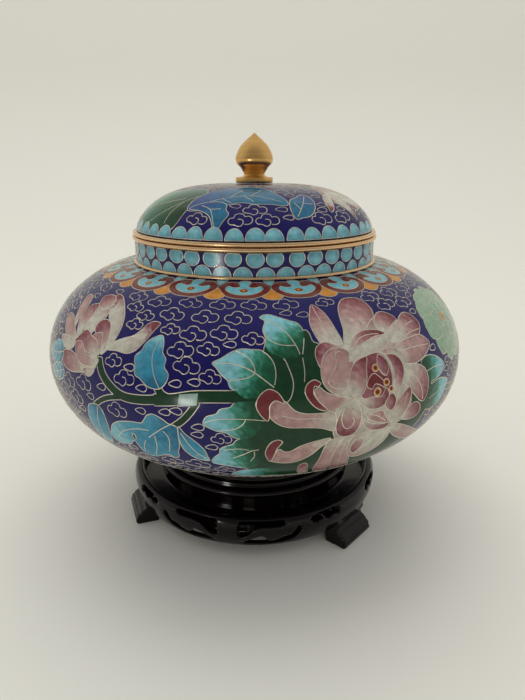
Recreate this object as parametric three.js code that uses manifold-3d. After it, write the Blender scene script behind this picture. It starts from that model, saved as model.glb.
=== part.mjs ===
// A cloisonne ginger jar with a lift-off lid, on a carved three-legged wooden stand.
// Millimetres, +Z up. The origin is on the table under the jar's axis, and the front faces -Y.
import * as THREE from 'three';
import { mergeVertices } from 'three/addons/utils/BufferGeometryUtils.js';
import Module from 'manifold-3d';

const wasm = await Module();
wasm.setup();

// Shared sizes
const CLEARANCE = 0.3; // between two pieces that rest on or in each other
const ROUND_SIDES = 40; // of the jar and its lid
const STAND_SIDES = 36;
const FINIAL_SIDES = 16;
const ENAMEL_WALL = 2.5; // copper body with its fired enamel
const MOUTH_RADIUS = 54.8;

// Belly of the jar: two quarter curves that meet at the widest ring
const BELLY_RADIUS = 100;
const BELLY_HEIGHT = 90; // of the widest ring above the table
const SHOULDER = { rise: 41.67, edge: 57.5, heightPower: 2.09, radiusPower: 1.69, steps: 7 };
const UNDERSIDE = { rise: -43.5, edge: 38, heightPower: 2.035, radiusPower: 2.285, steps: 7 };
const INNER_STEPS = 4; // of each quarter curve inside the wall
const FOOT_RING = { bottom: 38.8, outer: 40, inner: 36.4, lipTop: 40.2, neckTop: 42 };

// Collar, the two brass rims and the lid
const COLLAR = { radius: 57.3, top: 142.3 };
const JAR_RIM = { outer: 58.4, bottom: 142.6, top: 144.4, round: 0.4 };
const LID_RIM = { outer: 58, bottom: 144.7, top: 146.4, round: 0.4 };
const LID_FLANGE = { outer: 54.2, inner: 52.6, bottom: 139.5 }; // drops into the mouth
const LID_DOME = { bottom: 146.7, radius: 56.3, rise: 20.45, heightPower: 1.53, radiusPower: 3.57 };
const LID_WALL = 2.2;
const LID_STEPS = 8;
const LID_INNER_STEPS = 5;

// Finial: a disc, a neck and a pointed bud
const FINIAL = { disc: 8.8, discHeight: 2.5, neck: 4.8, neckHeight: 4.2, bud: 8.8, budHeight: 11, tip: 189.7 };

// Stand, turned shape: apron, sunk ledge, waist, bead, two steps and the seat
const APRON = { bottom: 9.8, bottomRadius: 62, widest: 65, widestHeight: 20, top: 25, inner: 59.6 };
const LEDGE = { height: 19.5, inner: 49.8, thickness: 3.3 };
const BEAD = { radius: 52.2, height: 29.6, half: 2 };
const LOW_STEP = { radius: 48.2, top: 34 };
const SEAT = { radius: 46.2, top: 41.5, recess: 43.5, floor: 38.5, thickness: 6 };
const WAIST_INNER = 43.5;

// Stand, legs
const LEG_AZIMUTHS = [49, 169, -71]; // degrees from the front, towards +X
const LEG_HALF_WIDTH = 11.4;
const LEG = { inner: 54, toe: 67.8, toeHeight: 4.6, ankle: 62.4, ankleHeight: 8, top: 17 };
const TOE_GROOVE = { depth: 0.7, half: 0.6, heights: [3.3, 5.7] };

// Stand, pierced work of one half bay: degrees from the middle of the bay, and height
const BAY_AZIMUTHS = LEG_AZIMUTHS.map((azimuth) => azimuth - 60);
const PIERCE_RADIUS = 64; // where a degree is measured as an arc
const PIERCE_FROM = 59.2;
const PIERCE_TO = 76;
const CORNER_SLOT = [
  [4.4, 16], [4.5, 22.8], [7, 23.7], [15, 23.8], [22.5, 23.6], [23.8, 22.4], [21.5, 21.2],
  [14.5, 21.1], [11, 19.8], [9, 17.4], [6.6, 15.8],
];
const CRESCENT_SLOT = [
  [3.5, 12.1], [11, 11.6], [20, 11.6], [27, 13.2], [30.8, 17], [30.4, 19.6], [28.6, 19.6],
  [26.4, 15.9], [23.2, 15.5], [20.8, 13.6], [16.8, 13.4], [14.4, 16.2], [11, 15], [7, 13],
];
const SIDE_SLOT = [
  [34.6, 20.6], [36, 22.9], [42, 23.5], [48, 23.3], [50, 21.6], [48.6, 19.9], [46, 20.6],
  [43.2, 19.4], [40.4, 20.6], [37.4, 19.6],
];

const DEGREE = Math.PI / 180;
const point = (radius, height) => new THREE.Vector2(radius, height);

// A quarter of a full, slightly squared curve, from the widest ring to the edge
function quarterCurve({ rise, edge, heightPower, radiusPower }, widest, steps) {
  const points = [];
  for (let i = 0; i <= steps; i += 1) {
    const turn = (i / steps) * 90 * DEGREE;
    const height = rise * Math.sin(turn) ** (2 / heightPower);
    const radius = edge + (widest - edge) * Math.max(Math.cos(turn), 0) ** (2 / radiusPower);
    points.push(point(i === steps ? edge : radius, height));
  }
  return points;
}

// The same curve moved inwards by the wall, square to itself
function innerCurve(curve, widest, steps, wall) {
  const fine = 24;
  const points = quarterCurve(curve, widest, steps * fine);
  const inward = Math.sign(curve.rise);
  const moved = [];
  for (let i = 0; i <= steps; i += 1) {
    const here = points[i * fine];
    const before = points[Math.max(i * fine - 1, 0)];
    const after = points[Math.min(i * fine + 1, points.length - 1)];
    const along = after.clone().sub(before).normalize();
    moved.push(point(Math.max(here.x - along.y * inward * wall, 0), here.y + along.x * inward * wall));
  }
  return moved;
}

const lifted = (points, height) => points.map((p) => point(p.x, p.y + height));

// Joins the shared vertices of a geometry and drops faces with no area
function weld(geometry) {
  const bare = geometry.clone();
  bare.deleteAttribute('normal');
  bare.deleteAttribute('uv');
  const welded = mergeVertices(bare, 1e-4);
  const kept = [];
  for (let i = 0; i < welded.index.count; i += 3) {
    const corner = [0, 1, 2].map((k) => welded.index.getX(i + k));
    if (new Set(corner).size === 3) {
      kept.push(...corner);
    }
  }
  welded.setIndex(kept);
  return welded;
}

function turned(profile, sides) {
  return weld(new THREE.LatheGeometry(profile, sides).rotateX(Math.PI / 2));
}

function solid(geometry) {
  const welded = geometry.index && !geometry.attributes.normal ? geometry : weld(geometry);
  const vertProperties = new Float32Array(welded.attributes.position.array);
  const triVerts = new Uint32Array(welded.index.array);
  return new wasm.Manifold(new wasm.Mesh({ numProp: 3, vertProperties, triVerts }));
}

function geometryOf(manifold) {
  const { vertProperties, triVerts, numProp } = manifold.getMesh();
  const geometry = new THREE.BufferGeometry();
  const positions = new Float32Array((vertProperties.length / numProp) * 3);
  for (let i = 0; i < positions.length / 3; i += 1) {
    positions.set(vertProperties.subarray(i * numProp, i * numProp + 3), i * 3);
  }
  geometry.setAttribute('position', new THREE.BufferAttribute(positions, 3));
  geometry.setIndex(Array.from(triVerts));
  return geometry;
}

// Jar: foot ring, belly and collar in one hollow body
function jarBody() {
  const base = BELLY_HEIGHT + UNDERSIDE.rise;
  const below = lifted(quarterCurve(UNDERSIDE, BELLY_RADIUS, UNDERSIDE.steps), BELLY_HEIGHT).reverse();
  const above = lifted(quarterCurve(SHOULDER, BELLY_RADIUS, SHOULDER.steps), BELLY_HEIGHT);
  const aboveInside = lifted(innerCurve(SHOULDER, BELLY_RADIUS, INNER_STEPS, ENAMEL_WALL), BELLY_HEIGHT);
  const belowInside = lifted(innerCurve(UNDERSIDE, BELLY_RADIUS, INNER_STEPS, ENAMEL_WALL), BELLY_HEIGHT);
  const underMouth = BELLY_HEIGHT + SHOULDER.rise - ENAMEL_WALL;
  return turned([
    point(0, base),
    point(FOOT_RING.inner, base),
    point(FOOT_RING.inner, FOOT_RING.bottom),
    point(FOOT_RING.outer, FOOT_RING.bottom),
    point(FOOT_RING.outer, FOOT_RING.lipTop),
    point(UNDERSIDE.edge, FOOT_RING.neckTop),
    ...below,
    ...above.slice(1, -1),
    point(COLLAR.radius, BELLY_HEIGHT + SHOULDER.rise),
    point(COLLAR.radius, COLLAR.top),
    point(MOUTH_RADIUS, COLLAR.top),
    point(MOUTH_RADIUS, underMouth),
    ...aboveInside.slice(0, -1).reverse(),
    ...belowInside.slice(1, -1),
    point(UNDERSIDE.edge, base + ENAMEL_WALL),
    point(0, base + ENAMEL_WALL),
  ], ROUND_SIDES);
}

// A band's outer side with its two edges rounded off, from the bottom up
function bandSide({ outer, bottom, top, round }) {
  return [
    point(outer - round, bottom),
    point(outer, bottom + round),
    point(outer, top - round),
    point(outer - round, top),
  ];
}

function jarRim() {
  const start = point(MOUTH_RADIUS, JAR_RIM.bottom);
  return turned([start, ...bandSide(JAR_RIM), point(MOUTH_RADIUS, JAR_RIM.top), start.clone()], ROUND_SIDES);
}

// Lid rim with the flange that keeps the lid from sliding off
function lidRim() {
  const start = point(LID_FLANGE.inner, LID_FLANGE.bottom);
  return turned([
    start,
    point(LID_FLANGE.outer, LID_FLANGE.bottom),
    point(LID_FLANGE.outer, LID_RIM.bottom),
    ...bandSide(LID_RIM),
    point(LID_FLANGE.inner, LID_RIM.top),
    start.clone(),
  ], ROUND_SIDES);
}

function lidDome() {
  const curve = { ...LID_DOME, edge: 0 };
  const outside = lifted(quarterCurve(curve, LID_DOME.radius, LID_STEPS), LID_DOME.bottom);
  const inside = lifted(innerCurve(curve, LID_DOME.radius, LID_INNER_STEPS, LID_WALL), LID_DOME.bottom);
  inside[0].set(LID_DOME.radius - LID_WALL, LID_DOME.bottom);
  inside[LID_INNER_STEPS].setX(0);
  return turned([...inside.reverse(), ...outside], ROUND_SIDES);
}

function finial() {
  const { disc, discHeight, neck, neckHeight, bud, budHeight, tip } = FINIAL;
  const foot = LID_DOME.bottom + LID_DOME.rise + CLEARANCE;
  const edge = 0.4;
  const widest = foot + budHeight;
  const upper = tip - widest;
  const swell = [[0.24, 0.9], [0.48, 0.73], [0.68, 0.48], [0.84, 0.24], [0.95, 0.085]];
  return turned([
    point(0, foot),
    point(disc - edge, foot),
    point(disc, foot + edge),
    point(disc, foot + discHeight - edge),
    point(disc - edge, foot + discHeight),
    point(neck + 1, foot + discHeight + edge),
    point(neck, foot + neckHeight - edge),
    point(neck + 0.3, foot + neckHeight + edge),
    point((neck + bud) / 2, foot + (neckHeight + budHeight) * 0.47),
    point(bud * 0.95, widest - 2.2),
    point(bud, widest),
    ...swell.map(([share, size]) => point(bud * size, widest + upper * share)),
    point(0, tip),
  ], FINIAL_SIDES);
}

// The stand before it is pierced: one turned shape, hollow below, with a groove behind the apron
function standTurning() {
  const ledgeUnder = LEDGE.height - LEDGE.thickness;
  const beadFoot = BEAD.height - BEAD.half;
  const beadTop = BEAD.height + BEAD.half;
  return turned([
    point(0, SEAT.floor - SEAT.thickness),
    point(WAIST_INNER - 4, SEAT.floor - SEAT.thickness),
    point(WAIST_INNER, beadFoot),
    point(WAIST_INNER + 1, ledgeUnder),
    point(APRON.inner, ledgeUnder),
    point(APRON.inner, APRON.bottom),
    point(APRON.bottomRadius, APRON.bottom),
    point(APRON.bottomRadius + 2, APRON.bottom + 4),
    point(APRON.widest, APRON.widestHeight - 1.5),
    point(APRON.widest - 0.3, APRON.widestHeight + 2),
    point(APRON.widest - 1.4, APRON.top - 0.8),
    point(APRON.widest - 2.8, APRON.top),
    point(APRON.inner + 0.6, APRON.top - 0.6),
    point(APRON.inner + 0.2, LEDGE.height),
    point(LEDGE.inner, LEDGE.height),
    point(LEDGE.inner, beadFoot - 0.4),
    point(BEAD.radius - 0.8, beadFoot),
    point(BEAD.radius, BEAD.height),
    point(BEAD.radius - 0.6, BEAD.height + BEAD.half * 0.6),
    point(BEAD.radius - 1.9, beadTop),
    point(LOW_STEP.radius, beadTop),
    point(LOW_STEP.radius, LOW_STEP.top),
    point(SEAT.radius, LOW_STEP.top),
    point(SEAT.radius - 0.4, SEAT.top),
    point(SEAT.recess, SEAT.top),
    point(SEAT.recess, SEAT.floor),
    point(0, SEAT.floor),
  ], STAND_SIDES);
}

// One leg: its side view, grooved along the rolled toe, drawn out across its width
function leg(azimuth) {
  const outline = new THREE.Shape();
  outline.moveTo(LEG.inner + 2, 0);
  outline.lineTo(LEG.toe - 0.9, 0);
  outline.quadraticCurveTo(LEG.toe, 0.2, LEG.toe, 1.4);
  for (const height of TOE_GROOVE.heights) {
    const face = THREE.MathUtils.mapLinear(height, LEG.toeHeight - 2.4, LEG.ankleHeight, LEG.toe, LEG.ankle);
    outline.lineTo(face + 0.5, height - TOE_GROOVE.half);
    outline.lineTo(face - TOE_GROOVE.depth, height);
    outline.lineTo(face, height + TOE_GROOVE.half);
  }
  outline.quadraticCurveTo(LEG.ankle - 0.3, LEG.ankleHeight - 0.4, LEG.ankle, LEG.ankleHeight);
  outline.lineTo(APRON.bottomRadius + 1.2, APRON.bottom + 1.6);
  outline.lineTo(APRON.bottomRadius + 1.2, LEG.top);
  outline.lineTo(APRON.inner - 1, LEG.top);
  outline.lineTo(LEG.inner + 1, APRON.bottom);
  outline.closePath();
  const shape = new THREE.ExtrudeGeometry(outline, {
    depth: 2 * LEG_HALF_WIDTH, bevelEnabled: false, curveSegments: 4,
  });
  shape.translate(0, 0, -LEG_HALF_WIDTH);
  shape.rotateX(Math.PI / 2);
  shape.rotateZ((azimuth - 90) * DEGREE);
  return solid(shape);
}

// A smooth opening cut square through the apron, on the given side of its bay
function pierce(outline, bayAzimuth, side) {
  const arc = PIERCE_RADIUS * DEGREE;
  const points = outline.map(([degrees, height]) => point(side * degrees * arc, height));
  const shape = new THREE.Shape();
  shape.moveTo(points[0].x, points[0].y);
  shape.splineThru([...points.slice(1), points[0]]);
  const cutter = new THREE.ExtrudeGeometry(shape, {
    depth: PIERCE_TO - PIERCE_FROM, bevelEnabled: false, curveSegments: 1,
  });
  const position = cutter.attributes.position;
  for (let i = 0; i < position.count; i += 1) {
    const angle = position.getX(i) / PIERCE_RADIUS + bayAzimuth * DEGREE;
    const radius = PIERCE_FROM + position.getZ(i);
    position.setXYZ(i, radius * Math.sin(angle), -radius * Math.cos(angle), position.getY(i));
  }
  return solid(cutter);
}

function stand() {
  let body = solid(standTurning());
  for (const azimuth of LEG_AZIMUTHS) {
    body = body.add(leg(azimuth));
  }
  for (const azimuth of BAY_AZIMUTHS) {
    for (const side of [-1, 1]) {
      for (const outline of [CORNER_SLOT, CRESCENT_SLOT, SIDE_SLOT]) {
        body = body.subtract(pierce(outline, azimuth, side));
      }
    }
  }
  return geometryOf(body);
}

// The pieces, each with its own finish
const jar = new THREE.Group();

function addPiece(name, geometry, finish) {
  geometry.computeVertexNormals();
  const mesh = new THREE.Mesh(geometry, new THREE.MeshStandardMaterial(finish));
  mesh.name = name;
  jar.add(mesh);
}

const BLUE_ENAMEL = { color: 0x2b2d86, roughness: 0.18, metalness: 0 };
const BRASS = { color: 0xb9893a, roughness: 0.32, metalness: 1 };
const DARK_LACQUER = { color: 0x24120f, roughness: 0.22, metalness: 0 };

addPiece('jar_body', jarBody(), BLUE_ENAMEL);
addPiece('jar_rim', jarRim(), BRASS);
addPiece('lid_dome', lidDome(), BLUE_ENAMEL);
addPiece('lid_rim', lidRim(), BRASS);
addPiece('finial', finial(), BRASS);
addPiece('stand', stand(), DARK_LACQUER);

export default jar;
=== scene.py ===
"""A cloisonne ginger jar: enamel fired in wire cells, gilt brass, and a carved wooden stand."""

import logging
import math
from collections.abc import Iterable, Sequence
from dataclasses import dataclass, field, replace
from enum import Enum

import bmesh
import bpy
import numpy as np
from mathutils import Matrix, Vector
from mathutils.geometry import delaunay_2d_cdt


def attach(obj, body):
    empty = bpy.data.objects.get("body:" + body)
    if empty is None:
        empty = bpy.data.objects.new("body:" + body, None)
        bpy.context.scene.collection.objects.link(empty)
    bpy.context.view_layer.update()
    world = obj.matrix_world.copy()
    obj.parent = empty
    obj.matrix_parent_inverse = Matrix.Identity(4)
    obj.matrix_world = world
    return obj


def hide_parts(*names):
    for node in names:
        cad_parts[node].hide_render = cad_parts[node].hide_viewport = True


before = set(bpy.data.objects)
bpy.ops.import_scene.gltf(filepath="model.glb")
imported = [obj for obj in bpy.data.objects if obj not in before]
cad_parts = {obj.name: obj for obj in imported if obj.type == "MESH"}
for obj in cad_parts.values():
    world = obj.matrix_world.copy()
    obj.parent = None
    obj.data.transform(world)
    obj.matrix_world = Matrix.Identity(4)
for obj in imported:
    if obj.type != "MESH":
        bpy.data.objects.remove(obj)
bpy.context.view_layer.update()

LOG = logging.getLogger("ginger_jar")
MM = 0.001
BODY = "root"
COLOUR_LAYER = "enamel_colour"
FLECK_LAYER = "enamel_fleck"
NORMAL_LAYER = "wall_normal"
COLUMNS = 192
SEED = 11
MERGED_WITHIN = 0.002 * MM
# A turned profile stays sharp where it bends by more than this
CREASE = math.radians(38.0)

Point = tuple[float, float]


class Slot(Enum):
    """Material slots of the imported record."""

    ENAMEL = "enamel"
    BRASS = "brass"
    WOOD = "lacquered_wood"


class Tint(Enum):
    """Colours of the enamels, as sRGB hex."""

    COBALT = "#151156"
    INK = "#121034"
    TURQUOISE = "#6aa9b6"
    SKY = "#7ebbc7"
    LAGOON = "#2f86a4"
    DEEP_LAGOON = "#1f6484"
    IRIS = "#2b4580"
    SEA_GREEN = "#3f8f7c"
    LEAF_GREEN = "#1a5a3f"
    BOTTLE_GREEN = "#153822"
    CELADON = "#88a88e"
    PALE_JADE = "#93aca4"
    MILK = "#bfbcaf"
    SHELL = "#ab8784"
    ROSE = "#8e5862"
    MAROON = "#6e2d33"
    RUST = "#64261f"
    AMBER = "#bd7c28"


Stops = tuple[tuple[float, Tint], ...]

# Runs of colour from the base of a petal or leaf to its tip
SNOW_PETAL: Stops = ((0.0, Tint.MILK), (0.45, Tint.MILK), (1.0, Tint.SHELL))
PALE_PETAL: Stops = ((0.0, Tint.MILK), (0.3, Tint.SHELL), (0.75, Tint.SHELL), (1.0, Tint.ROSE))
BLUSH_PETAL: Stops = (
    (0.0, Tint.MILK), (0.15, Tint.MILK), (0.5, Tint.SHELL), (0.78, Tint.ROSE), (1.0, Tint.MAROON),
)
WHITE_PETAL: Stops = (
    (0.0, Tint.MILK), (0.66, Tint.MILK), (0.8, Tint.ROSE), (0.92, Tint.MAROON), (1.0, Tint.MAROON),
)
DARK_PETAL: Stops = ((0.0, Tint.MILK), (0.35, Tint.SHELL), (0.65, Tint.ROSE), (1.0, Tint.MAROON))
PETAL_CAP: Stops = ((0.0, Tint.ROSE), (0.35, Tint.MAROON), (1.0, Tint.MAROON))
HEART: Stops = ((0.0, Tint.ROSE), (0.5, Tint.MAROON), (1.0, Tint.ROSE))
CELADON_PETAL: Stops = ((0.0, Tint.SEA_GREEN), (0.35, Tint.CELADON), (1.0, Tint.CELADON))
BLUE_LEAF: Stops = ((0.0, Tint.DEEP_LAGOON), (0.3, Tint.LAGOON), (0.7, Tint.LAGOON), (1.0, Tint.SKY))
GREEN_LEAF: Stops = (
    (0.0, Tint.BOTTLE_GREEN), (0.3, Tint.LEAF_GREEN), (0.5, Tint.SEA_GREEN), (0.7, Tint.SKY), (1.0, Tint.SKY),
)
LID_GREEN_LEAF: Stops = ((0.0, Tint.BOTTLE_GREEN), (0.6, Tint.LEAF_GREEN), (1.0, Tint.SEA_GREEN))
LID_BLUE_LEAF: Stops = ((0.0, Tint.IRIS), (0.5, Tint.DEEP_LAGOON), (1.0, Tint.DEEP_LAGOON))


def linear(colour: str) -> tuple[float, float, float, float]:
    """Turns an sRGB hex colour to linear values.

    Args:
        colour: text such as "#1d1a72".

    Returns:
        Linear red, green and blue, and an alpha of one.
    """
    parts = [int(colour[i : i + 2], 16) / 255 for i in (1, 3, 5)]
    red, green, blue = (c / 12.92 if c <= 0.04045 else ((c + 0.055) / 1.055) ** 2.4 for c in parts)
    return red, green, blue, 1.0


def add_node(tree: bpy.types.NodeTree, kind: str, inputs: dict | None = None, **settings) -> bpy.types.Node:
    """Adds a node with its settings and links.

    Args:
        tree: the tree that gets the node.
        kind: the node's type name.
        inputs: values or output sockets, by input name or number.
        settings: properties of the node.

    Returns:
        The new node.
    """
    node = tree.nodes.new(kind)
    for name, value in settings.items():
        setattr(node, name, value)
    for key, value in (inputs or {}).items():
        if isinstance(value, bpy.types.NodeSocket):
            tree.links.new(value, node.inputs[key])
        else:
            node.inputs[key].default_value = value
    return node


def in_scene(name: str, data: bpy.types.ID) -> bpy.types.Object:
    """Puts a mesh, a light or a camera in the scene.

    Args:
        name: the object's name.
        data: what it holds.

    Returns:
        The new object.
    """
    made = bpy.data.objects.new(name, data)
    bpy.context.scene.collection.objects.link(made)
    return made


# Flat geometry of the drawings


def grid(across: np.ndarray, up: np.ndarray) -> np.ndarray:
    """Gives each pair of a place across and a place up, one a row."""
    return np.stack(np.meshgrid(across, up, indexing="ij"), axis=2).reshape(-1, 2)


def unit(rows: np.ndarray) -> np.ndarray:
    """Brings each row to a length of one."""
    return rows / np.maximum(np.linalg.norm(rows, axis=1, keepdims=True), 1e-9)


def right_normals(line: np.ndarray) -> np.ndarray:
    """Gives the normals of a line, to the right of the way it runs."""
    along = unit(np.gradient(line, axis=0))
    return np.stack([along[:, 1], -along[:, 0]], axis=1)


def spline(points: Sequence[Point], closed: bool, per_span: int) -> np.ndarray:
    """Draws a smooth curve through points.

    Args:
        points: the points that the curve passes.
        closed: whether it returns to its start.
        per_span: steps between two points.

    Returns:
        Points of the curve, one a row.
    """
    knots = np.array(points, float)
    count = len(knots)
    rows = []
    for i in range(count if closed else count - 1):
        picks = [k % count if closed else min(max(k, 0), count - 1) for k in (i - 1, i, i + 1, i + 2)]
        a, b, c, d = knots[picks]
        for t in np.arange(per_span) / per_span:
            square, cube = (2 * a - 5 * b + 4 * c - d) * t**2, (3 * b - a - 3 * c + d) * t**3
            rows.append((2 * b + (c - a) * t + square + cube) / 2)
    if not closed:
        rows.append(knots[-1])
    return np.array(rows)


def bowed_line(base: Point, tip: Point, bend: float, count: int) -> np.ndarray:
    """Draws a line that bows to its left.

    Args:
        base: where it starts.
        tip: where it ends.
        bend: how far it bows, as a share of its length.
        count: points along it.

    Returns:
        Points of the line, one a row.
    """
    start, end = np.array(base, float), np.array(tip, float)
    span = end - start
    middle = (start + end) / 2 + 2 * bend * np.array([-span[1], span[0]])
    t = np.linspace(0, 1, count)[:, None]
    return (1 - t) ** 2 * start + 2 * t * (1 - t) * middle + t**2 * end


def band(spine: np.ndarray, half_widths: np.ndarray) -> np.ndarray:
    """Gives the outline of a band of changing width along a line.

    Args:
        spine: the line, one point a row.
        half_widths: half the band's width at each point.

    Returns:
        The closed outline, up one side and down the other.
    """
    across = right_normals(spine) * half_widths[:, None]
    left, right = spine - across, spine + across
    return np.concatenate([left[1:-1], spine[-1:], right[-2:0:-1], spine[:1]])


def ellipse(centre: Point, width: float, height: float, count: int) -> np.ndarray:
    """Gives an ellipse's outline of a given width, height and number of points."""
    turned = np.arange(count) * 2 * math.pi / count
    return np.array(centre) + np.stack([np.cos(turned) * width / 2, np.sin(turned) * height / 2], axis=1)


def inside(points: np.ndarray, outline: np.ndarray) -> np.ndarray:
    """Tells which points lie within an outline.

    Args:
        points: points to test, one a row.
        outline: the closed outline.

    Returns:
        True for each point within.
    """
    found = np.zeros(len(points), bool)
    near = np.flatnonzero(((points >= outline.min(0)) & (points <= outline.max(0))).all(1))
    x, y = points[near, 0], points[near, 1]
    hits = np.zeros(len(near), bool)
    for (x0, y0), (x1, y1) in zip(outline, np.roll(outline, -1, axis=0)):
        if y0 != y1:
            hits ^= ((y0 > y) != (y1 > y)) & (x < (x1 - x0) * (y - y0) / (y1 - y0) + x0)
    found[near] = hits
    return found


@dataclass
class Cell:
    """One enamel cell, fenced by wire.

    Its colour runs along its spine through the stops, strays a little as powder laid by hand does,
    and turns to the rim's tint near its edge, more so on the shaded side. Flecks tells how much
    white powder shows in its pale parts. Cells that join by the same name have no wire between them.
    """

    outline: np.ndarray
    spine: np.ndarray
    reach: float
    stops: Stops
    order: int
    rim: Tint | None = None
    rim_share: float = 0.0
    flecks: float = 0.0
    joins: str = ""

    GRAIN = 0.2
    GRAIN_WAVE = np.array([12.9898, 78.233])
    GRAIN_SCATTER = 43758.5453
    LIT_POWER, LIT_SHARE, SHADED_POWER = 4, 0.6, 1.6
    FLECKED_FROM = 0.4

    def moved(self, shift: float) -> "Cell":
        """Gives the same cell further along the wall."""
        step = np.array([shift, 0.0])
        return replace(self, outline=self.outline + step, spine=self.spine + step)

    def colours(self, points: np.ndarray) -> np.ndarray:
        """Gives linear colours at points of the cell.

        Args:
            points: points of the drawing, one a row.

        Returns:
            Red, green, blue and flecks, one row each.
        """
        gaps = np.linalg.norm(points[:, None, :] - self.spine[None, :, :], axis=2)
        nearest = gaps.argmin(1)
        grain = np.sin(points @ self.GRAIN_WAVE) * self.GRAIN_SCATTER
        stray = (grain - np.floor(grain) - 0.5) * self.GRAIN
        share = np.clip(nearest / max(len(self.spine) - 1, 1) + stray, 0, 1)
        places = [place for place, _ in self.stops]
        values = np.array([linear(tint.value) for _, tint in self.stops])
        mixed = np.stack([np.interp(share, places, values[:, k]) for k in range(4)], axis=1)
        if self.rim is not None:
            along, away = np.gradient(self.spine, axis=0)[nearest], points - self.spine[nearest]
            lit = along[:, 0] * away[:, 1] > along[:, 1] * away[:, 0]
            out = np.clip(gaps.min(1) / self.reach, 0, 1)
            turned = np.where(lit, out**self.LIT_POWER * self.LIT_SHARE, out**self.SHADED_POWER)
            edge = (turned * self.rim_share)[:, None]
            mixed = mixed * (1 - edge) + np.array(linear(self.rim.value)) * edge
        mixed[:, 3] = self.flecks * np.clip(mixed[:, :3].mean(1) / self.FLECKED_FROM, 0, 1)
        return mixed


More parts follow.
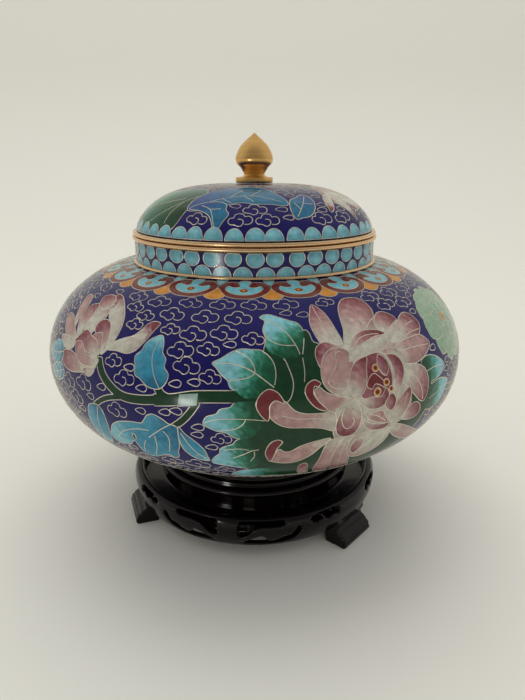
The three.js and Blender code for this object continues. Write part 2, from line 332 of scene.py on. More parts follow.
@dataclass
class Drawing:
    """The cells of one enamelled wall, back to front, and the wires drawn within them.

    Places are millimetres along the wall's reference ring and up the wall. What is drawn next
    is moved along by shift, and mirrored where facing is minus one.
    """

    cells: list[Cell] = field(default_factory=list)
    veins: list[tuple[int, np.ndarray]] = field(default_factory=list)
    shift: float = 0.0
    facing: float = 1.0

    CURVE_STEPS = 4
    PETAL_POINTS, FORM_POINTS, LEAF_POINTS = 22, 24, 41
    LOBE_DEPTH, LOBE_POWER = 0.2, 0.6
    MIDRIB_POINTS, RIB_STARTS, RIB_POINTS = 38, (7, 18), 9
    RIB_REACH, RIB_BOW = 0.36, 0.07

    def placed(self, points: np.ndarray) -> np.ndarray:
        """Moves points to where the drawing now stands."""
        return points * np.array([self.facing, 1.0]) + np.array([self.shift, 0.0])

    def add(self, outline: np.ndarray, spine: np.ndarray, reach: float, stops: Stops, **edge) -> None:
        """Adds a cell over the others.

        Args:
            outline: its closed outline.
            spine: the line that its colours run along.
            reach: how far it stretches from the spine.
            stops: colours along the spine.
            edge: the rim's tint and share, flecks, or the name of cells that it joins.
        """
        order = len(self.cells)
        self.cells.append(Cell(self.placed(outline), self.placed(spine), reach, stops, order, **edge))

    def vein(self, line: np.ndarray) -> None:
        """Adds a wire on the last cell."""
        self.veins.append((len(self.cells) - 1, self.placed(line)))

    def ribs(self, *routes: Sequence[Point]) -> None:
        """Adds wires on the last cell, each along a route."""
        for route in routes:
            self.vein(spline(route, False, self.CURVE_STEPS))

    def blade(
        self, spine: np.ndarray, width: float, stops: Stops, waist: Point = (0.75, 0.4), lobes: int = 0,
        **edge,
    ) -> None:
        """Adds a petal or leaf along a spine.

        Args:
            spine: its middle line, base to tip.
            width: its full width at the widest place.
            stops: colours from base to tip.
            waist: powers that shape the base and the tip; small ones are blunt.
            lobes: lobes on each side of the edge.
            edge: the rim's tint and share, and flecks.
        """
        share = np.linspace(0, 1, len(spine))
        full = share ** waist[0] * (1 - share) ** waist[1]
        half = width / 2 * full / full.max()
        if lobes:
            wave = np.abs(np.sin(math.pi * lobes * share)) ** self.LOBE_POWER
            half *= 1 - self.LOBE_DEPTH + self.LOBE_DEPTH * wave
        self.add(band(spine, half), spine, width / 2, stops, **edge)

    def petals(
        self,
        centre: Point,
        angles: Iterable[float],
        reach: Point,
        width: float,
        stops: Stops,
        bend: float = 0.0,
        **shape,
    ) -> None:
        """Adds petals round a centre, tinged at their edges.

        Args:
            centre: where they start.
            angles: degrees at which they stand, in the order that they lie.
            reach: how far they go along and up.
            width: full width of each.
            stops: colours from base to tip.
            bend: how far they bow to their left, as a share of their length.
            shape: further settings of a blade.
        """
        shape = {"rim": Tint.ROSE, "rim_share": 0.55, "flecks": 0.4, **shape}
        for lean in map(math.radians, angles):
            tip = (centre[0] + reach[0] * math.cos(lean), centre[1] + reach[1] * math.sin(lean))
            self.blade(bowed_line(centre, tip, bend, self.PETAL_POINTS), width, stops, **shape)

    def leaf(self, base: Point, tip: Point, width: float, stops: Stops, bend: float = 0.0) -> None:
        """Adds a lobed leaf with a midrib and two pairs of side ribs.

        Args:
            base: where it starts.
            tip: where it ends.
            width: its full width.
            stops: colours from base to tip.
            bend: how far it bows to its left, as a share of its length.
        """
        spine = bowed_line(base, tip, bend, self.LEAF_POINTS)
        edge = {"rim": Tint.SKY, "rim_share": 0.6, "flecks": 0.12}
        self.blade(spine, width, stops, (0.5, 0.8), 3, **edge)
        self.vein(spine[: self.MIDRIB_POINTS])
        along = (spine[-1] - spine[0]) / np.linalg.norm(spine[-1] - spine[0])
        across = np.array([-along[1], along[0]])
        for start in self.RIB_STARTS:
            for side in (-1, 1):
                end = spine[start + self.RIB_POINTS] + across * side * width * self.RIB_REACH
                bow = (spine[start] + end) / 2 - along * width * self.RIB_BOW
                self.ribs([spine[start], bow, end])

    def forms(self, rows: Sequence[tuple], **edge) -> None:
        """Adds petals or leaves with outlines of their own, and the wires on them.

        Args:
            rows: outline, where the colours start and end, colours, and any wires, back to front.
            edge: the rim's tint and share, flecks, or the name of cells that they join.
        """
        edge = {"rim": Tint.MAROON, "rim_share": 0.42, "flecks": 0.4, **edge}
        for outline, base, tip, stops, *routes in rows:
            ring = spline(outline, True, self.CURVE_STEPS)
            spine = bowed_line(base, tip, 0.0, self.FORM_POINTS)
            reach = float(np.linalg.norm(ring[:, None] - spine[None], axis=2).min(1).max())
            flecks = 0.0 if stops is PETAL_CAP else edge["flecks"]
            self.add(ring, spine, reach, stops, **{**edge, "flecks": flecks})
            self.ribs(*routes)

    def stem(self, width: float, *route: Point) -> None:
        """Adds a green stem of even width.

        Args:
            width: its width.
            route: points that it passes.
        """
        spine = spline(route, False, 5)
        half = width / 2
        stops = ((0.0, Tint.BOTTLE_GREEN), (1.0, Tint.BOTTLE_GREEN))
        self.add(band(spine, np.full(len(spine), half)), spine, half, stops, joins="stem")

    def patch(self, outline: np.ndarray, tint: Tint, joins: str = "") -> None:
        """Adds a cell of one colour with an outline of its own."""
        self.add(outline, outline.mean(0)[None, :], 1.0, ((0.0, tint), (1.0, tint)), joins=joins)

    def wrapped(self, half_turn: float) -> list[Cell]:
        """Gives the cells, with those that cross the back seam drawn on both of its sides.

        Args:
            half_turn: length of half the reference ring.

        Returns:
            The cells in their order.
        """
        cells = []
        for cell in self.cells:
            for shift in (0.0, 2 * half_turn, -2 * half_turn):
                low, high = cell.outline[:, 0].min() + shift, cell.outline[:, 0].max() + shift
                if high > -half_turn and low < half_turn:
                    cells.append(cell.moved(shift))
        return cells


# Turned walls


@dataclass
class TurnedWall:
    """A wall turned about the jar's axis, bottom to top, that carries a flat drawing.

    The drawing is laid on so that a small circle stays a circle.
    """

    line: np.ndarray
    reference: float
    zero_height: float
    levels: np.ndarray = field(init=False)
    normals: np.ndarray = field(init=False)

    def __post_init__(self) -> None:
        """Works out the drawing's level and the wall's normal at each point of the profile."""
        radii, heights = self.line.T
        steps = np.hypot(np.diff(radii), np.diff(heights))
        rise = np.concatenate([[0.0], np.cumsum(steps / ((radii[1:] + radii[:-1]) / 2))]) * self.reference
        self.levels = rise - np.interp(self.zero_height, heights, rise)
        self.normals = right_normals(self.line)

    @property
    def half_turn(self) -> float:
        """Length of half the reference ring."""
        return math.pi * self.reference

    def at(self, level: np.ndarray, pairs: np.ndarray) -> np.ndarray:
        """Gives pairs that belong to the profile's points at levels of the drawing."""
        return np.stack([np.interp(level, self.levels, pairs[:, k]) for k in (0, 1)], axis=1)

    def section(self, level: np.ndarray, depth: float) -> np.ndarray:
        """Gives radius and height at levels of the drawing, a depth under the surface."""
        return self.at(level, self.line) - depth * unit(self.at(level, self.normals))

    def turned(self, flat: np.ndarray, pairs: np.ndarray) -> np.ndarray:
        """Turns radial and upward parts about the axis, each to its own place along the drawing."""
        azimuth = flat[:, 0] / self.reference
        return np.stack([pairs[:, 0] * np.sin(azimuth), -pairs[:, 0] * np.cos(azimuth), pairs[:, 1]], axis=1)


@dataclass
class Shell:
    """A mesh in millimetres, with a colour, flecks and a normal at each corner of its triangles."""

    points: np.ndarray
    triangles: np.ndarray
    colours: np.ndarray
    normals: np.ndarray

    def joined(self, other: "Shell") -> "Shell":
        """Gives this shell and another as one."""
        moved = replace(other, triangles=other.triangles + len(self.points))
        return Shell(*(np.concatenate(pair) for pair in zip(vars(self).values(), vars(moved).values())))

    def piece(self, name: str, material: bpy.types.Material) -> bpy.types.Object:
        """Makes a piece of the shell, with its shared points merged.

        Args:
            name: the piece's name.
            material: its finish.

        Returns:
            The new object.
        """
        mesh = bpy.data.meshes.new(name)
        mesh.from_pydata((self.points * MM).tolist(), [], self.triangles.tolist())
        opaque = np.concatenate([self.colours[..., :3], np.ones_like(self.colours[..., :1])], axis=-1)
        for layer, kind, key, values in (
            (COLOUR_LAYER, "FLOAT_COLOR", "color", opaque),
            (FLECK_LAYER, "FLOAT", "value", self.colours[..., 3]),
            (NORMAL_LAYER, "FLOAT_VECTOR", "vector", self.normals),
        ):
            corners = mesh.attributes.new(layer, kind, "CORNER")
            corners.data.foreach_set(key, values.astype(np.float32).ravel())
        merged = bmesh.new()
        merged.from_mesh(mesh)
        bmesh.ops.remove_doubles(merged, verts=merged.verts, dist=MERGED_WITHIN)
        merged.to_mesh(mesh)
        merged.free()
        kept = np.zeros(len(mesh.loops) * 3, np.float32)
        mesh.attributes[NORMAL_LAYER].data.foreach_get("vector", kept)
        mesh.attributes.remove(mesh.attributes[NORMAL_LAYER])
        mesh.shade_smooth()
        mesh.normals_split_custom_set(kept.reshape(-1, 3).tolist())
        mesh.materials.append(material)
        return in_scene(name, mesh)


def plain_colours(tint: Tint, count: int) -> np.ndarray:
    """Gives one colour without flecks for the corners of a number of triangles."""
    return np.tile(np.array([*linear(tint.value)[:3], 0.0]), (count, 3, 1))


def turn(profile: Sequence[Point], tint: Tint = Tint.COBALT, columns: int = COLUMNS) -> Shell:
    """Turns a profile about the jar's axis.

    Args:
        profile: radius and height; the outside lies to the right of the way it runs.
        tint: its colour.
        columns: sides around.

    Returns:
        The turned shell.
    """
    line = np.array(profile, float)
    span = np.diff(line, axis=0)
    flat = unit(np.stack([span[:, 1], -span[:, 0]], axis=1))
    starts, ends = flat.copy(), flat.copy()
    for i in range(1, len(flat)):
        if flat[i] @ flat[i - 1] > math.cos(CREASE):
            starts[i] = ends[i - 1] = (flat[i] + flat[i - 1]) / np.linalg.norm(flat[i] + flat[i - 1])
    azimuth = -math.pi + np.arange(columns) * 2 * math.pi / columns
    sines, cosines = np.sin(azimuth), -np.cos(azimuth)
    this = np.arange(columns)
    following = (this + 1) % columns

    def lean(pair: np.ndarray, at: np.ndarray) -> np.ndarray:
        """Turns radial and upward parts to columns."""
        return np.stack([pair[0] * sines[at], pair[0] * cosines[at], np.full(columns, pair[1])], axis=1)

    triangles, normals = [], []
    for i in range(len(span)):
        low, high = i * columns, (i + 1) * columns
        numbers = (low + this, low + following, high + following, high + this)
        below, above = starts[i], ends[i]
        facing = (lean(below, this), lean(below, following), lean(above, following), lean(above, this))
        for radius, picks in ((line[i, 0], (0, 1, 2)), (line[i + 1, 0], (0, 2, 3))):
            if radius > 0:
                triangles.append(np.stack([numbers[k] for k in picks], axis=1))
                normals.append(np.stack([facing[k] for k in picks], axis=1))
    faces = np.concatenate(triangles)
    points = np.concatenate([lean(pair, this) for pair in line])
    return Shell(points, faces, plain_colours(tint, len(faces)), np.concatenate(normals))


@dataclass
class EnamelSkin:
    """An enamelled wall: its coloured surface, and the lines where wires fence its cells."""

    wall: TurnedWall
    drawing: Drawing
    fine_step: float = 1.3
    shell: Shell = field(init=False)
    line_points: np.ndarray = field(init=False)
    line_edges: np.ndarray = field(init=False)

    SAME_PLACE, SAME_SEAM = 1e-4, 1e-3

    def __post_init__(self) -> None:
        """Cuts the flat wall along the cells' outlines, colours it and lays it on the wall."""
        wall = self.wall
        cells = self.drawing.wrapped(wall.half_turn)
        flat, triangles = self._cut(cells)
        middles = flat[triangles].mean(1)
        top = np.full(len(triangles), -1)
        for number, cell in enumerate(cells):
            top[inside(middles, cell.outline)] = number
        colours = plain_colours(Tint.COBALT, len(triangles))
        for number in np.unique(top[top >= 0]):
            mine = top == number
            colours[mine] = cells[number].colours(flat[triangles[mine]].reshape(-1, 2)).reshape(-1, 3, 4)
        points = wall.turned(flat, wall.section(flat[:, 1], 0.0))
        normals = wall.turned(flat, unit(wall.at(flat[:, 1], wall.normals)))
        self.shell = Shell(points, triangles, colours, normals[triangles])
        self._fence(cells, flat, triangles, top)
        self._draw_veins(cells)

    def _cut(self, cells: list[Cell]) -> tuple[np.ndarray, np.ndarray]:
        """Triangulates the flat wall with the cells' outlines as edges.

        Args:
            cells: the cells to cut out.

        Returns:
            Flat points and triangles.
        """
        half, low, high, step = self.wall.half_turn, self.wall.levels[0], self.wall.levels[-1], self.fine_step
        rows = max(round((high - low) / (2 * half / COLUMNS)), 1)
        points = [grid(np.linspace(-half, half, COLUMNS + 1), np.linspace(low, high, rows + 1))]
        net = np.arange((COLUMNS + 1) * (rows + 1)).reshape(COLUMNS + 1, rows + 1)
        sides = (net[0], net[-1], net[:, 0], net[:, -1])
        edges = [np.stack([side[:-1], side[1:]], axis=1) for side in sides]
        filled = grid(np.arange(-half + step, half, step), np.arange(low + step, high - step / 2, step))
        covered = np.zeros(len(filled), bool)
        for cell in cells:
            covered |= inside(filled, cell.outline)
        points.append(filled[covered])
        first = net.size + int(covered.sum())
        for cell in cells:
            ring = first + np.arange(len(cell.outline))
            points.append(cell.outline)
            edges.append(np.stack([ring, np.roll(ring, -1)], axis=1))
            first += len(ring)
        corners = [Vector(place) for place in np.concatenate(points)]
        made = delaunay_2d_cdt(corners, np.concatenate(edges).tolist(), [], 0, self.SAME_PLACE, False)
        flat, triangles = np.array([tuple(place) for place in made[0]]), np.array(made[2])
        for axis, limit in ((0, -half), (0, half), (1, low), (1, high)):
            flat[np.abs(flat[:, axis] - limit) < self.SAME_SEAM, axis] = limit
        middles = flat[triangles].mean(1)
        kept = (np.abs(middles[:, 0]) < half) & (middles[:, 1] > low) & (middles[:, 1] < high)
        used, numbers = np.unique(triangles[kept], return_inverse=True)
        return flat[used], numbers.reshape(-1, 3)

    def _fence(self, cells: list[Cell], flat: np.ndarray, triangles: np.ndarray, top: np.ndarray) -> None:
        """Finds the edges between two cells, where a wire stands.

        Args:
            cells: the cells of the wall.
            flat: the wall's flat points.
            triangles: its triangles.
            top: the cell that shows in each triangle, or minus one for the ground.
        """
        names = [cell.joins or str(cell.order) for cell in cells] + [""]
        sides = np.sort(np.concatenate([triangles[:, pair] for pair in ([0, 1], [1, 2], [2, 0])]), axis=1)
        order = np.lexsort((sides[:, 1], sides[:, 0]))
        sides, owner = sides[order], np.tile(np.array(names)[top], 3)[order]
        shared = np.flatnonzero((sides[1:] == sides[:-1]).all(1))
        used, numbers = np.unique(sides[shared[owner[shared] != owner[shared + 1]]], return_inverse=True)
        self.line_points, self.line_edges = flat[used], numbers.reshape(-1, 2)

    def _draw_veins(self, cells: list[Cell]) -> None:
        """Adds the wires within cells, where no later cell hides them.

        Args:
            cells: the cells of the wall.
        """
        points, edges = [self.line_points], [self.line_edges]
        first = len(self.line_points)
        for owner, line in self.drawing.veins:
            middles = (line[1:] + line[:-1]) / 2
            shown = inside(middles, self.drawing.cells[owner].outline)
            low, high = line.min(0), line.max(0)
            for cell in cells:
                near = (cell.outline.max(0) > low).all() and (cell.outline.min(0) < high).all()
                if near and cell.order > owner:
                    shown &= ~inside(middles, cell.outline)
            steps = first + np.flatnonzero(shown)
            points.append(line)
            edges.append(np.stack([steps, steps + 1], axis=1))
            first += len(line)
        self.line_points, self.line_edges = np.concatenate(points), np.concatenate(edges)


# Wires, by Geometry Nodes


def wire_tree() -> bpy.types.GeometryNodeTree:
    """Makes the tree that lays flat lines, or a shape on flat points, on a turned wall as wire.

    Returns:
        The tree, with named inputs for its sizes.
    """
    tree = bpy.data.node_groups.new("cell wire", "GeometryNodeTree")
    kinds = {
        "Lines": "Geometry", "Wall": "Object", "Shape": "Object", "Use Shape": "Bool",
        "Lowest Level": "Float", "Level Step": "Float", "Reference Radius": "Float",
        "Wire Radius": "Float", "Sides": "Int", "Material": "Material",
    }
    for name, kind in kinds.items():
        tree.interface.new_socket(name, in_out="INPUT", socket_type=f"NodeSocket{kind}")
    tree.interface.new_socket("Wire", in_out="OUTPUT", socket_type="NodeSocketGeometry")
    given = add_node(tree, "NodeGroupInput").outputs
    # A shape is set on each point with the point's own size and turn
    shape = add_node(tree, "GeometryNodeObjectInfo", {"Object": given["Shape"]})
    size = add_node(tree, "GeometryNodeInputNamedAttribute", {"Name": "size"}, data_type="FLOAT").outputs[0]
    lean = add_node(tree, "GeometryNodeInputNamedAttribute", {"Name": "turn"}, data_type="FLOAT").outputs[0]
    angles = add_node(tree, "ShaderNodeCombineXYZ", {"Z": lean})
    rotation = add_node(tree, "FunctionNodeEulerToRotation", {0: angles.outputs[0]})
    scale = add_node(tree, "ShaderNodeCombineXYZ", {"X": size, "Y": size, "Z": size})
    set_on = {
        "Points": given["Lines"], "Instance": shape.outputs["Geometry"], "Rotation": rotation.outputs[0],
        "Scale": scale.outputs[0],
    }
    spread = add_node(tree, "GeometryNodeInstanceOnPoints", set_on)
    laid = add_node(tree, "GeometryNodeRealizeInstances", {"Geometry": spread.outputs[0]})
    choice = {"Switch": given["Use Shape"], "False": given["Lines"], "True": laid.outputs[0]}
    lines = add_node(tree, "GeometryNodeSwitch", choice, input_type="GEOMETRY")
    # A point's level picks its radius and height from the wall's profile
    wall = add_node(tree, "GeometryNodeObjectInfo", {"Object": given["Wall"]})
    place = add_node(tree, "GeometryNodeInputPosition").outputs[0]
    flat = add_node(tree, "ShaderNodeSeparateXYZ", {0: place}).outputs
    above = add_node(tree, "ShaderNodeMath", {0: flat["Y"], 1: given["Lowest Level"]}, operation="SUBTRACT")
    step = add_node(tree, "ShaderNodeMath", {0: above.outputs[0], 1: given["Level Step"]}, operation="DIVIDE")
    index = add_node(tree, "FunctionNodeFloatToInt", {0: step.outputs[0]}, rounding_mode="ROUND")
    sampled = {"Geometry": wall.outputs["Geometry"], "Value": place, "Index": index.outputs[0]}
    section = add_node(
        tree, "GeometryNodeSampleIndex", sampled, data_type="FLOAT_VECTOR", domain="POINT", clamp=True
    )
    # Its place along the drawing turns it about the axis, from the front
    along = {0: flat["X"], 1: given["Reference Radius"]}
    azimuth = add_node(tree, "ShaderNodeMath", along, operation="DIVIDE")
    about = {"Vector": section.outputs[0], "Angle": azimuth.outputs[0]}
    target = add_node(tree, "ShaderNodeVectorRotate", about, rotation_type="Z_AXIS")
    moved = {"Geometry": lines.outputs[0], "Position": target.outputs[0]}
    wrapped = add_node(tree, "GeometryNodeSetPosition", moved)
    # A round wire runs along the lines
    path = add_node(tree, "GeometryNodeMeshToCurve", {0: wrapped.outputs[0]})
    wire = {"Resolution": given["Sides"], "Radius": given["Wire Radius"]}
    circle = add_node(tree, "GeometryNodeCurvePrimitiveCircle", wire)
    swept = {"Curve": path.outputs[0], "Profile Curve": circle.outputs[0], "Fill Caps": True}
    tube = add_node(tree, "GeometryNodeCurveToMesh", swept)
    smooth = add_node(tree, "GeometryNodeSetShadeSmooth", {0: tube.outputs[0]})
    real = add_node(tree, "GeometryNodeRealizeInstances", {0: smooth.outputs[0]})
    dressed = add_node(tree, "GeometryNodeSetMaterial", {0: real.outputs[0], "Material": given["Material"]})
    add_node(tree, "NodeGroupOutput", {0: dressed.outputs[0]})
    return tree


def bare_object(name: str, points: np.ndarray, edges: np.ndarray | None = None) -> bpy.types.Object:
    """Makes a helper object of points and edges.

    Args:
        name: the object's name.
        points: points in millimetres, flat or in space.
        edges: pairs of point numbers, if any.

    Returns:
        The helper, in the scene.
    """
    mesh = bpy.data.meshes.new(name)
    deep = np.zeros((len(points), 3))
    deep[:, : points.shape[1]] = points
    mesh.from_pydata((deep * MM).tolist(), [] if edges is None else edges.tolist(), [])
    return in_scene(name, mesh)


def plain_mesh(worked: bpy.types.Object) -> bpy.types.Object:
    """Turns an object with modifiers to a plain mesh.

    Args:
        worked: the object; it is removed.

    Returns:
        A new object of the same name with the result as its mesh.
    """
    name = worked.name
    seen = worked.evaluated_get(bpy.context.evaluated_depsgraph_get())
    mesh = bpy.data.meshes.new_from_object(seen)
    worked.modifiers.clear()
    bpy.data.objects.remove(worked)
    mesh.name = name
    return in_scene(name, mesh)


@dataclass
class WireWork:
    """Drawn wire soldered on a wall and ground down nearly flush with the enamel."""

    tree: bpy.types.GeometryNodeTree
    wall: TurnedWall
    material: bpy.types.Material
    radius: float = 0.25
    sunk: float = 0.145
    level_step: float = 0.02
    fence_sides: int = 5
    cloud_sides: int = 4

    def fence(self, name: str, skin: EnamelSkin) -> bpy.types.Object:
        """Makes the wires round and within a skin's cells, as one piece."""
        return self.lay(name, bare_object("cell lines", skin.line_points, skin.line_edges), self.fence_sides)

    def lay(
        self, name: str, lines: bpy.types.Object, sides: int, shape: bpy.types.Object | None = None
    ) -> bpy.types.Object:
        """Makes wire of flat lines, or of a shape set on flat points.

        Args:
            name: the piece's name.
            lines: the helper with the lines or points; it is removed.
            sides: sides of the wire.
            shape: the helper with the shape, if any; it is removed.

        Returns:
            The wires as one piece.
        """
        lowest = self.wall.levels[0]
        levels = np.arange(lowest, self.wall.levels[-1], self.level_step)
        section = self.wall.section(levels, self.sunk)
        profile = bare_object("wall profile", np.stack([0 * levels, -section[:, 0], section[:, 1]], axis=1))
        values = {
            "Wall": profile, "Shape": shape, "Use Shape": shape is not None, "Lowest Level": lowest * MM,
            "Level Step": self.level_step * MM, "Reference Radius": self.wall.reference * MM,
            "Wire Radius": self.radius * MM, "Sides": sides, "Material": self.material,
        }
        lines.name = name
        nodes = lines.modifiers.new("cell wire", "NODES")
        nodes.node_group = self.tree
        for item in self.tree.interface.items_tree:
            if item.in_out == "INPUT" and values.get(item.name) is not None:
                nodes[item.identifier] = values[item.name]
        piece = plain_mesh(lines)
        for helper in filter(None, (profile, shape)):
            bpy.data.objects.remove(helper)
        return piece


@dataclass
class CloudField:
    """Rows of small wire clouds over the plain ground, with a drop of wire in the narrow places."""

    skin: EnamelSkin
    low: float
    high: float
    pitch: float = 12.3
    row_rise: float = 6.5
    raster: float = 0.7
    room: float = 1.1
    fewest: int = 8

    CLOUD = (
        (-0.9, 0.5), (0.5, 0.3), (1.2, -0.8), (0.7, -2.2), (-0.6, -2.9), (-2.3, -2), (-4.2, -1.7),
        (-5, -0.2), (-4, 1.2), (-2.7, 1.2), (-2.1, 2.8), (-0.3, 3.4), (1.4, 2.8), (2, 1.6), (3.7, 1.7),
        (4.9, 0.4), (4.6, -1.4), (3.2, -2.2), (1.6, -2),
    )
    DROP = ((-2.6, 0), (-0.8, 1.2), (1.2, 1.4), (2.4, 0.2), (1.4, -1.2), (-0.6, -1))
    # What is tried at a place, in turn: the shape and its share of full size
    TRIED = (("cloud", 1.0), ("cloud", 0.8), ("drop", 0.95))
    INNER_PROBE = 0.5
    NUDGE = (0.12, 0.09)
    NUDGES_ALONG, NUDGES_UP = range(-4, 5), range(-3, 4)
    UNEVEN_PLACE, UNEVEN_TURN, UNEVEN_SIZE = 0.05, 0.12, (0.94, 1.04)

    def shapes(self) -> dict[str, np.ndarray]:
        """Gives the wire lines of a cloud and of a drop."""
        drop = spline(self.DROP, True, 3)
        return {"cloud": spline(self.CLOUD, False, 2), "drop": np.concatenate([drop, drop[:1]])}

    def places(self) -> dict[str, np.ndarray]:
        """Finds where clouds and drops fit, row by row from the top.

        Returns:
            For each shape, rows of place along, level, size and turn.
        """
        draw = np.random.default_rng(SEED)
        wall = self.skin.wall
        free = self._free_ground()
        shapes = self.shapes()
        found: dict[str, list] = {name: [] for name in shapes}
        nudges = [(self.NUDGE[0] * a, self.NUDGE[1] * b) for a in self.NUDGES_ALONG for b in self.NUDGES_UP]
        nudges.sort(key=lambda nudge: math.hypot(*nudge))
        level, row = self.high, 0
        while level > self.low:
            radius = float(np.interp(level, wall.levels, wall.line[:, 0]))
            scale = wall.reference / radius
            count = max(round(2 * math.pi * radius / self.pitch), self.fewest)
            step = 2 * wall.half_turn / count
            for k in range(count):
                stray = draw.uniform(-self.UNEVEN_PLACE, self.UNEVEN_PLACE)
                along = -wall.half_turn + (k + 0.5 * ((row + count) % 2) + stray) * step
                lean = draw.uniform(-self.UNEVEN_TURN, self.UNEVEN_TURN)
                size = draw.uniform(*self.UNEVEN_SIZE) * scale
                spots = [(along + a * step, level + b * step) for a, b in nudges]
                for name, shrink in self.TRIED:
                    shape, stance = shapes[name], (size * shrink, lean)
                    probe = np.concatenate([shape, shape * self.INNER_PROBE])
                    fitting = (s for s in spots if self._fits(free, self._stood(probe, s, *stance)))
                    spot = next(fitting, None)
                    if spot:
                        found[name].append((*spot, *stance))
                        self._take(free, self._stood(shape * self.room, spot, *stance))
                        break
            level -= self.row_rise * scale
            row += 1
        return {name: np.array(rows).reshape(-1, 4) for name, rows in found.items()}

    @staticmethod
    def _stood(shape: np.ndarray, spot: Point, size: float, lean: float) -> np.ndarray:
        """Gives a shape's line turned, scaled and moved to its spot."""
        spin = np.array([[math.cos(lean), math.sin(lean)], [-math.sin(lean), math.cos(lean)]])
        return shape @ spin * size + np.array(spot)

    def _take(self, free: np.ndarray, outline: np.ndarray) -> None:
        """Marks the ground within an outline as taken.

        Args:
            free: the raster of free ground; it is changed.
            outline: the closed outline.
        """
        low, high = np.floor(outline.min(0) / self.raster), np.ceil(outline.max(0) / self.raster) + 1
        places = (grid(np.arange(low[0], high[0]), np.arange(low[1], high[1])) + 0.5) * self.raster
        start = np.array([-self.skin.wall.half_turn, self.skin.wall.levels[0]])
        column, row = np.floor((places[inside(places, outline)] - start) / self.raster).astype(int).T
        kept = (row >= 0) & (row < free.shape[1])
        free[column[kept] % free.shape[0], row[kept]] = False

    def _free_ground(self) -> np.ndarray:
        """Marks the ground that no cell comes near, on a fine raster.

        Returns:
            True where the ground is free, by column and row.
        """
        wall = self.skin.wall
        across = np.arange(-wall.half_turn, wall.half_turn, self.raster)
        up = np.arange(wall.levels[0], wall.levels[-1], self.raster)
        points = grid(across, up)
        free = np.ones(len(points), bool)
        for cell in self.skin.drawing.wrapped(wall.half_turn):
            free &= ~inside(points, cell.outline)
        free = free.reshape(len(across), len(up))
        clear = free.copy()
        for axis in (0, 1):
            clear &= np.roll(free, 1, axis) & np.roll(free, -1, axis)
        return clear

    def _fits(self, free: np.ndarray, points: np.ndarray) -> bool:
        """Tells whether a shape stands on free ground.

        Args:
            free: the raster of free ground.
            points: points on and within the shape.

        Returns:
            True where all of it is free.
        """
        wall = self.skin.wall
        column = ((points[:, 0] + wall.half_turn) / self.raster).astype(int) % free.shape[0]
        row = ((points[:, 1] - wall.levels[0]) / self.raster).astype(int)
        return bool(((row >= 0) & (row < free.shape[1])).all() and free[column, row].all())

    def pieces(self, work: WireWork, name: str) -> list[bpy.types.Object]:
        """Makes the clouds and drops as wire.

        Args:
            work: the wire and its wall.
            name: start of the pieces' names.

        Returns:
            One piece of clouds and one of drops.
        """
        made = []
        shapes = self.shapes()
        for kind, rows in self.places().items():
            points = bare_object(kind, rows[:, :2])
            for label, column in (("size", 2), ("turn", 3)):
                layer = points.data.attributes.new(label, "FLOAT", "POINT")
                layer.data.foreach_set("value", rows[:, column].astype(np.float32))
            steps = np.arange(len(shapes[kind]) - 1)
            shape = bare_object("wire shape", shapes[kind], np.stack([steps, steps + 1], axis=1))
            made.append(work.lay(f"{name}_{kind}s", points, work.cloud_sides, shape))
        return made


# Finishes


def start_material(name: str) -> tuple[bpy.types.Material, bpy.types.NodeSocket]:
    """Starts a material with an empty tree.

    Args:
        name: its name.

    Returns:
        The material, and the Object coordinates in its tree.
    """
    material = bpy.data.materials.new(name)
    material.use_nodes = True
    material.node_tree.nodes.clear()
    return material, add_node(material.node_tree, "ShaderNodeTexCoord").outputs["Object"]


@dataclass(frozen=True)
class FiredEnamel:
    """Glass enamel fired on copper, ground flush with its wires and polished."""

    name: str = "Cloisonne enamel, fired and polished"
    roughness: float = 0.16
    gloss: float = 0.25
    fleck_size: float = 1.9
    fleck_range: Point = (0.46, 0.72)

    # Size and detail of a noise, and the part of it that runs from one shade to another: the cloudy
    # melt, then the pits. Powder and pits are 0.2 mm or less on the real jar, and are drawn coarser to show.
    SHADES = ((2.6, 4.0, (0.3, 0.7), (0.8, 1.16)), (0.9, 1.0, (0.7, 0.76), (1.0, 0.45)))

    def make(self) -> bpy.types.Material:
        """Makes the material.

        Returns:
            The enamel, in the colours that its mesh holds.
        """
        # Deep colour under a clear gloss, cloudy within a cell, with white powder and a few dark pits
        material, place = start_material(self.name)
        tree = material.node_tree
        colour = add_node(tree, "ShaderNodeAttribute", attribute_name=COLOUR_LAYER).outputs["Color"]
        amount = add_node(tree, "ShaderNodeAttribute", attribute_name=FLECK_LAYER).outputs["Fac"]
        fine = {"Vector": place, "Scale": 1 / (self.fleck_size * MM), "Detail": 5.0}
        powder = add_node(tree, "ShaderNodeTexNoise", fine)
        spots = {0: powder.outputs[0], 1: self.fleck_range[0], 2: self.fleck_range[1], 3: 0.0, 4: 1.0}
        fleck = add_node(tree, "ShaderNodeMapRange", spots)
        share = add_node(tree, "ShaderNodeMath", {0: fleck.outputs[0], 1: amount}, operation="MULTIPLY")
        milky = {0: share.outputs[0], 6: colour, 7: linear(Tint.MILK.value)}
        colour = add_node(tree, "ShaderNodeMix", milky, data_type="RGBA").outputs[2]
        for size, detail, (low, high), (start, end) in self.SHADES:
            melt = {"Vector": place, "Scale": 1 / (size * MM), "Detail": detail}
            noise = add_node(tree, "ShaderNodeTexNoise", melt).outputs[0]
            shade = add_node(tree, "ShaderNodeMapRange", {0: noise, 1: low, 2: high, 3: start, 4: end})
            shaded = {0: 1.0, 6: colour, 7: shade.outputs[0]}
            mixed = add_node(tree, "ShaderNodeMix", shaded, data_type="RGBA", blend_type="MULTIPLY")
            colour = mixed.outputs[2]
        surface = {"Base Color": colour, "Roughness": self.roughness, "Specular IOR Level": self.gloss}
        gloss = add_node(tree, "ShaderNodeBsdfPrincipled", surface)
        add_node(tree, "ShaderNodeOutputMaterial", {"Surface": gloss.outputs[0]})
        return material


